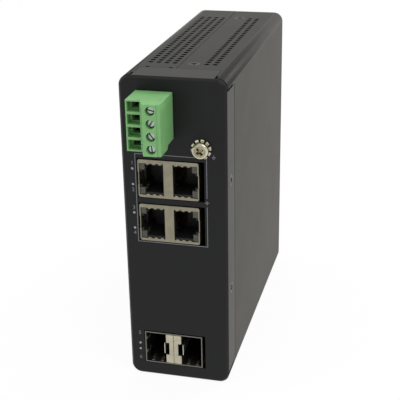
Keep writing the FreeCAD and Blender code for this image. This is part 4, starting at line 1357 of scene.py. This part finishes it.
@dataclass
class RailClip(SubAssembly):
    """Clip for a rail on the back wall, with its sliding latch."""

    edge: float = 0.3
    screw: Screw = countersunk(8.0)
    screw_spin: float = 20.0
    spin_per_mm: float = 3.0
    wire: float = 0.6
    wire_edge: float = 0.08
    folds: int = 4
    bend_steps: int = 10
    travel: float = 4.0

    def build(self) -> None:
        """Dresses the clip and makes its spring and screws."""
        self.dresser.node("din_bracket", Finishes.CLIP, self.edge)
        self.dresser.node("din_latch", Finishes.CLIP, self.edge)
        self._set_spring()
        low, _, high = span("bracket_screws")
        places = [
            Facing.BACK.at((x, high.y, z), self.screw_spin + self.spin_per_mm * x)
            for x in self.screw.rows(low.x, high.x)
            for z in self.screw.rows(low.z, high.z)
        ]
        screws = Bench.spread("bracket_screw_set", self.screw.model("bracket_screw"), places)
        self.dresser.piece(screws, Finishes.SCREW_BLACK, Body.CASE, Slot.BLACK_SCREW, "bracket_screws")

    def _set_spring(self) -> None:
        """Makes and dresses the spring and gives it a mesh of its own."""
        spring = self._spring()
        self.dresser.piece(spring, Finishes.SPRING, Body.CASE, Slot.SPRING_STEEL, "din_spring")
        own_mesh(spring)

    def _spring(self) -> Piece:
        """Models the folded spring from the bottom up: straight bars joined by round bends.

        Returns:
            The spring.
        """
        low, middle, high = span("din_spring")
        step = (high.z - low.z - self.wire) / self.folds
        reach = (high.x - low.x - step - self.wire) / 2
        near = self.wire / 4
        spring = Bench.block("latch_spring", tuple(low), (middle.x + reach, high.y, low.z + self.wire))
        for fold in range(self.folds):
            way = -1 if fold % 2 else 1
            end = Vector((middle.x + way * reach, middle.y, low.z + self.wire / 2 + fold * step))
            Bench.pick(spring, lambda face: (face.center / MM - end).length < near)
            hub = (end + Vector((0.0, 0.0, step / 2))) * MM
            bpy.ops.mesh.spin(steps=self.bend_steps, angle=way * math.pi, center=hub, axis=(0.0, 1.0, 0.0))
            run = 2 * reach if fold < self.folds - 1 else middle.x + reach - low.x
            Bench.draw((-way * run, 0.0, 0.0))
            Bench.close()
        Bench.trim(spring, self.wire_edge)
        return spring


# studio


@dataclass(frozen=True)
class Softbox:
    """A square lamp that looks at a point of the object."""

    name: str
    place: Place
    aim: Place
    side: float
    power: float
    colour: Colour = (1.0, 1.0, 1.0)

    def build(self) -> None:
        """Hangs the lamp."""
        data = bpy.data.lights.new(self.name, "AREA")
        data.shape = "SQUARE"
        data.size = self.side
        data.energy = self.power
        data.color = self.colour
        lamp = bpy.data.objects.new(self.name, data)
        bpy.context.scene.collection.objects.link(lamp)
        lamp.location = self.place
        lamp.rotation_euler = (Vector(self.aim) - Vector(self.place)).to_track_quat("-Z", "Y").to_euler()


@dataclass
class Studio:
    """White floor, soft lamps and the camera at the photograph's angle."""

    floor_radius: float = 6.0
    floor_sides: int = 96
    cove_radius: float = 1.4
    cove_steps: int = 8
    floor_white: Colour = (0.86, 0.86, 0.86)
    glow_share: float = 0.93
    sky: Colour = (1.0, 1.0, 1.0)
    sky_strength: float = 0.8
    camera_place: Place = (0.09975, -0.40555, 0.23265)
    azimuth: float = 14.598
    elevation: float = 22.645
    roll: float = -1.055
    lens: float = 86.15
    sensor: float = 36.0
    softboxes: tuple[Softbox, ...] = (
        Softbox("key_lamp", (0.55, -0.5, 0.95), aim=(0.0, 0.0, 0.07), side=0.6, power=2.8),
        Softbox("fill_lamp", (-0.75, -0.35, 0.55), aim=(0.0, -0.02, 0.07), side=0.6, power=1.3),
        Softbox("top_lamp", (0.0, 0.35, 1.0), aim=(0.0, 0.0, 0.1), side=0.7, power=2.6),
        Softbox(
            "rim_lamp", (0.95, 0.95, 0.8), aim=(0.02, 0.0, 0.1), side=0.5, power=6.0,
            colour=(1.0, 0.97, 0.92),
        ),
    )

    def build(self) -> None:
        """Builds the studio."""
        self._floor()
        self._world()
        for softbox in self.softboxes:
            softbox.build()
        self._camera()
        bpy.context.scene.view_settings.view_transform = "Standard"

    def _floor(self) -> None:
        """Lays the floor: white where it shows, with the object's shadow kept faintly."""
        floor = self._cove()
        shader = Shader.paint("floor_white")
        matt = shader.node("ShaderNodeBsdfDiffuse", {}, {"Color": (*self.floor_white, 1.0)})
        glow = shader.node("ShaderNodeEmission", {}, {})
        seen = shader.rays(Ray.CAMERA) | shader.rays(Ray.GLOSSY) | shader.rays(Ray.TRANSMISSION)
        both = shader.node("ShaderNodeMixShader", {}, {0: seen * self.glow_share, 1: matt, 2: glow})
        shader.end("ShaderNodeOutputMaterial", both)
        floor.data.materials.append(shader.owner)

    def _cove(self) -> Piece:
        """Models the floor: a round sheet whose rim curves up, so that no horizon shows.

        Returns:
            The floor.
        """
        Bench.clear()
        bpy.ops.mesh.primitive_circle_add(
            vertices=self.floor_sides, radius=self.floor_radius, fill_type="NGON"
        )
        floor = Bench.settle("floor")
        bpy.ops.object.mode_set(mode="EDIT")
        bpy.ops.mesh.select_all(action="SELECT")
        out, level = self.floor_radius, 0.0
        for step in range(1, self.cove_steps + 1):
            turn = math.pi / 2 * step / self.cove_steps
            rim = self.floor_radius + self.cove_radius * math.sin(turn)
            height = self.cove_radius * (1.0 - math.cos(turn))
            bpy.ops.mesh.extrude_edges_move(TRANSFORM_OT_translate={"value": (0.0, 0.0, height - level)})
            bpy.ops.transform.resize(value=(rim / out, rim / out, 1.0))
            out, level = rim, height
        Bench.close()
        Bench.smooth(floor)
        return floor

    def _world(self) -> None:
        """Sets an even pale surround that lights the object at a plain level."""
        world = bpy.data.worlds.new("surround")
        bpy.context.scene.world = world
        shader = Shader(world)
        sky = {"Color": (*self.sky, 1.0), "Strength": self.sky_strength}
        shader.end("ShaderNodeOutputWorld", shader.node("ShaderNodeBackground", {}, sky))

    def _camera(self) -> None:
        """Sets the camera where the photograph was taken from."""
        data = bpy.data.cameras.new("camera")
        data.lens = self.lens
        data.sensor_width = self.sensor
        camera = bpy.data.objects.new("camera", data)
        bpy.context.scene.collection.objects.link(camera)
        turn, lift, roll = (math.radians(angle) for angle in (self.azimuth, self.elevation, self.roll))
        ahead = Vector((-math.sin(turn) * math.cos(lift), math.cos(turn) * math.cos(lift), -math.sin(lift)))
        right = Vector((math.cos(turn), math.sin(turn), 0.0))
        up = right.cross(ahead)
        axes = (
            right * math.cos(roll) + up * math.sin(roll),
            up * math.cos(roll) - right * math.sin(roll),
            -ahead,
        )
        camera.matrix_world = Matrix.Translation(self.camera_place) @ Matrix(axes).transposed().to_4x4()
        bpy.context.scene.camera = camera


def main() -> None:
    """Builds and dresses the object and sets up the studio."""
    logging.basicConfig(level=logging.INFO, format="%(message)s")
    dresser = Dresser(Finishes())
    assemblies = (
        FoldedCase, PowerTerminal, EarthPoint, JackStack, FibreCage,
        Lamps, PanelPrint, CircuitBoard, RailClip,
    )
    for assembly in assemblies:
        assembly(dresser).build()
    Studio().build()


if __name__ == "__main__":
    main()
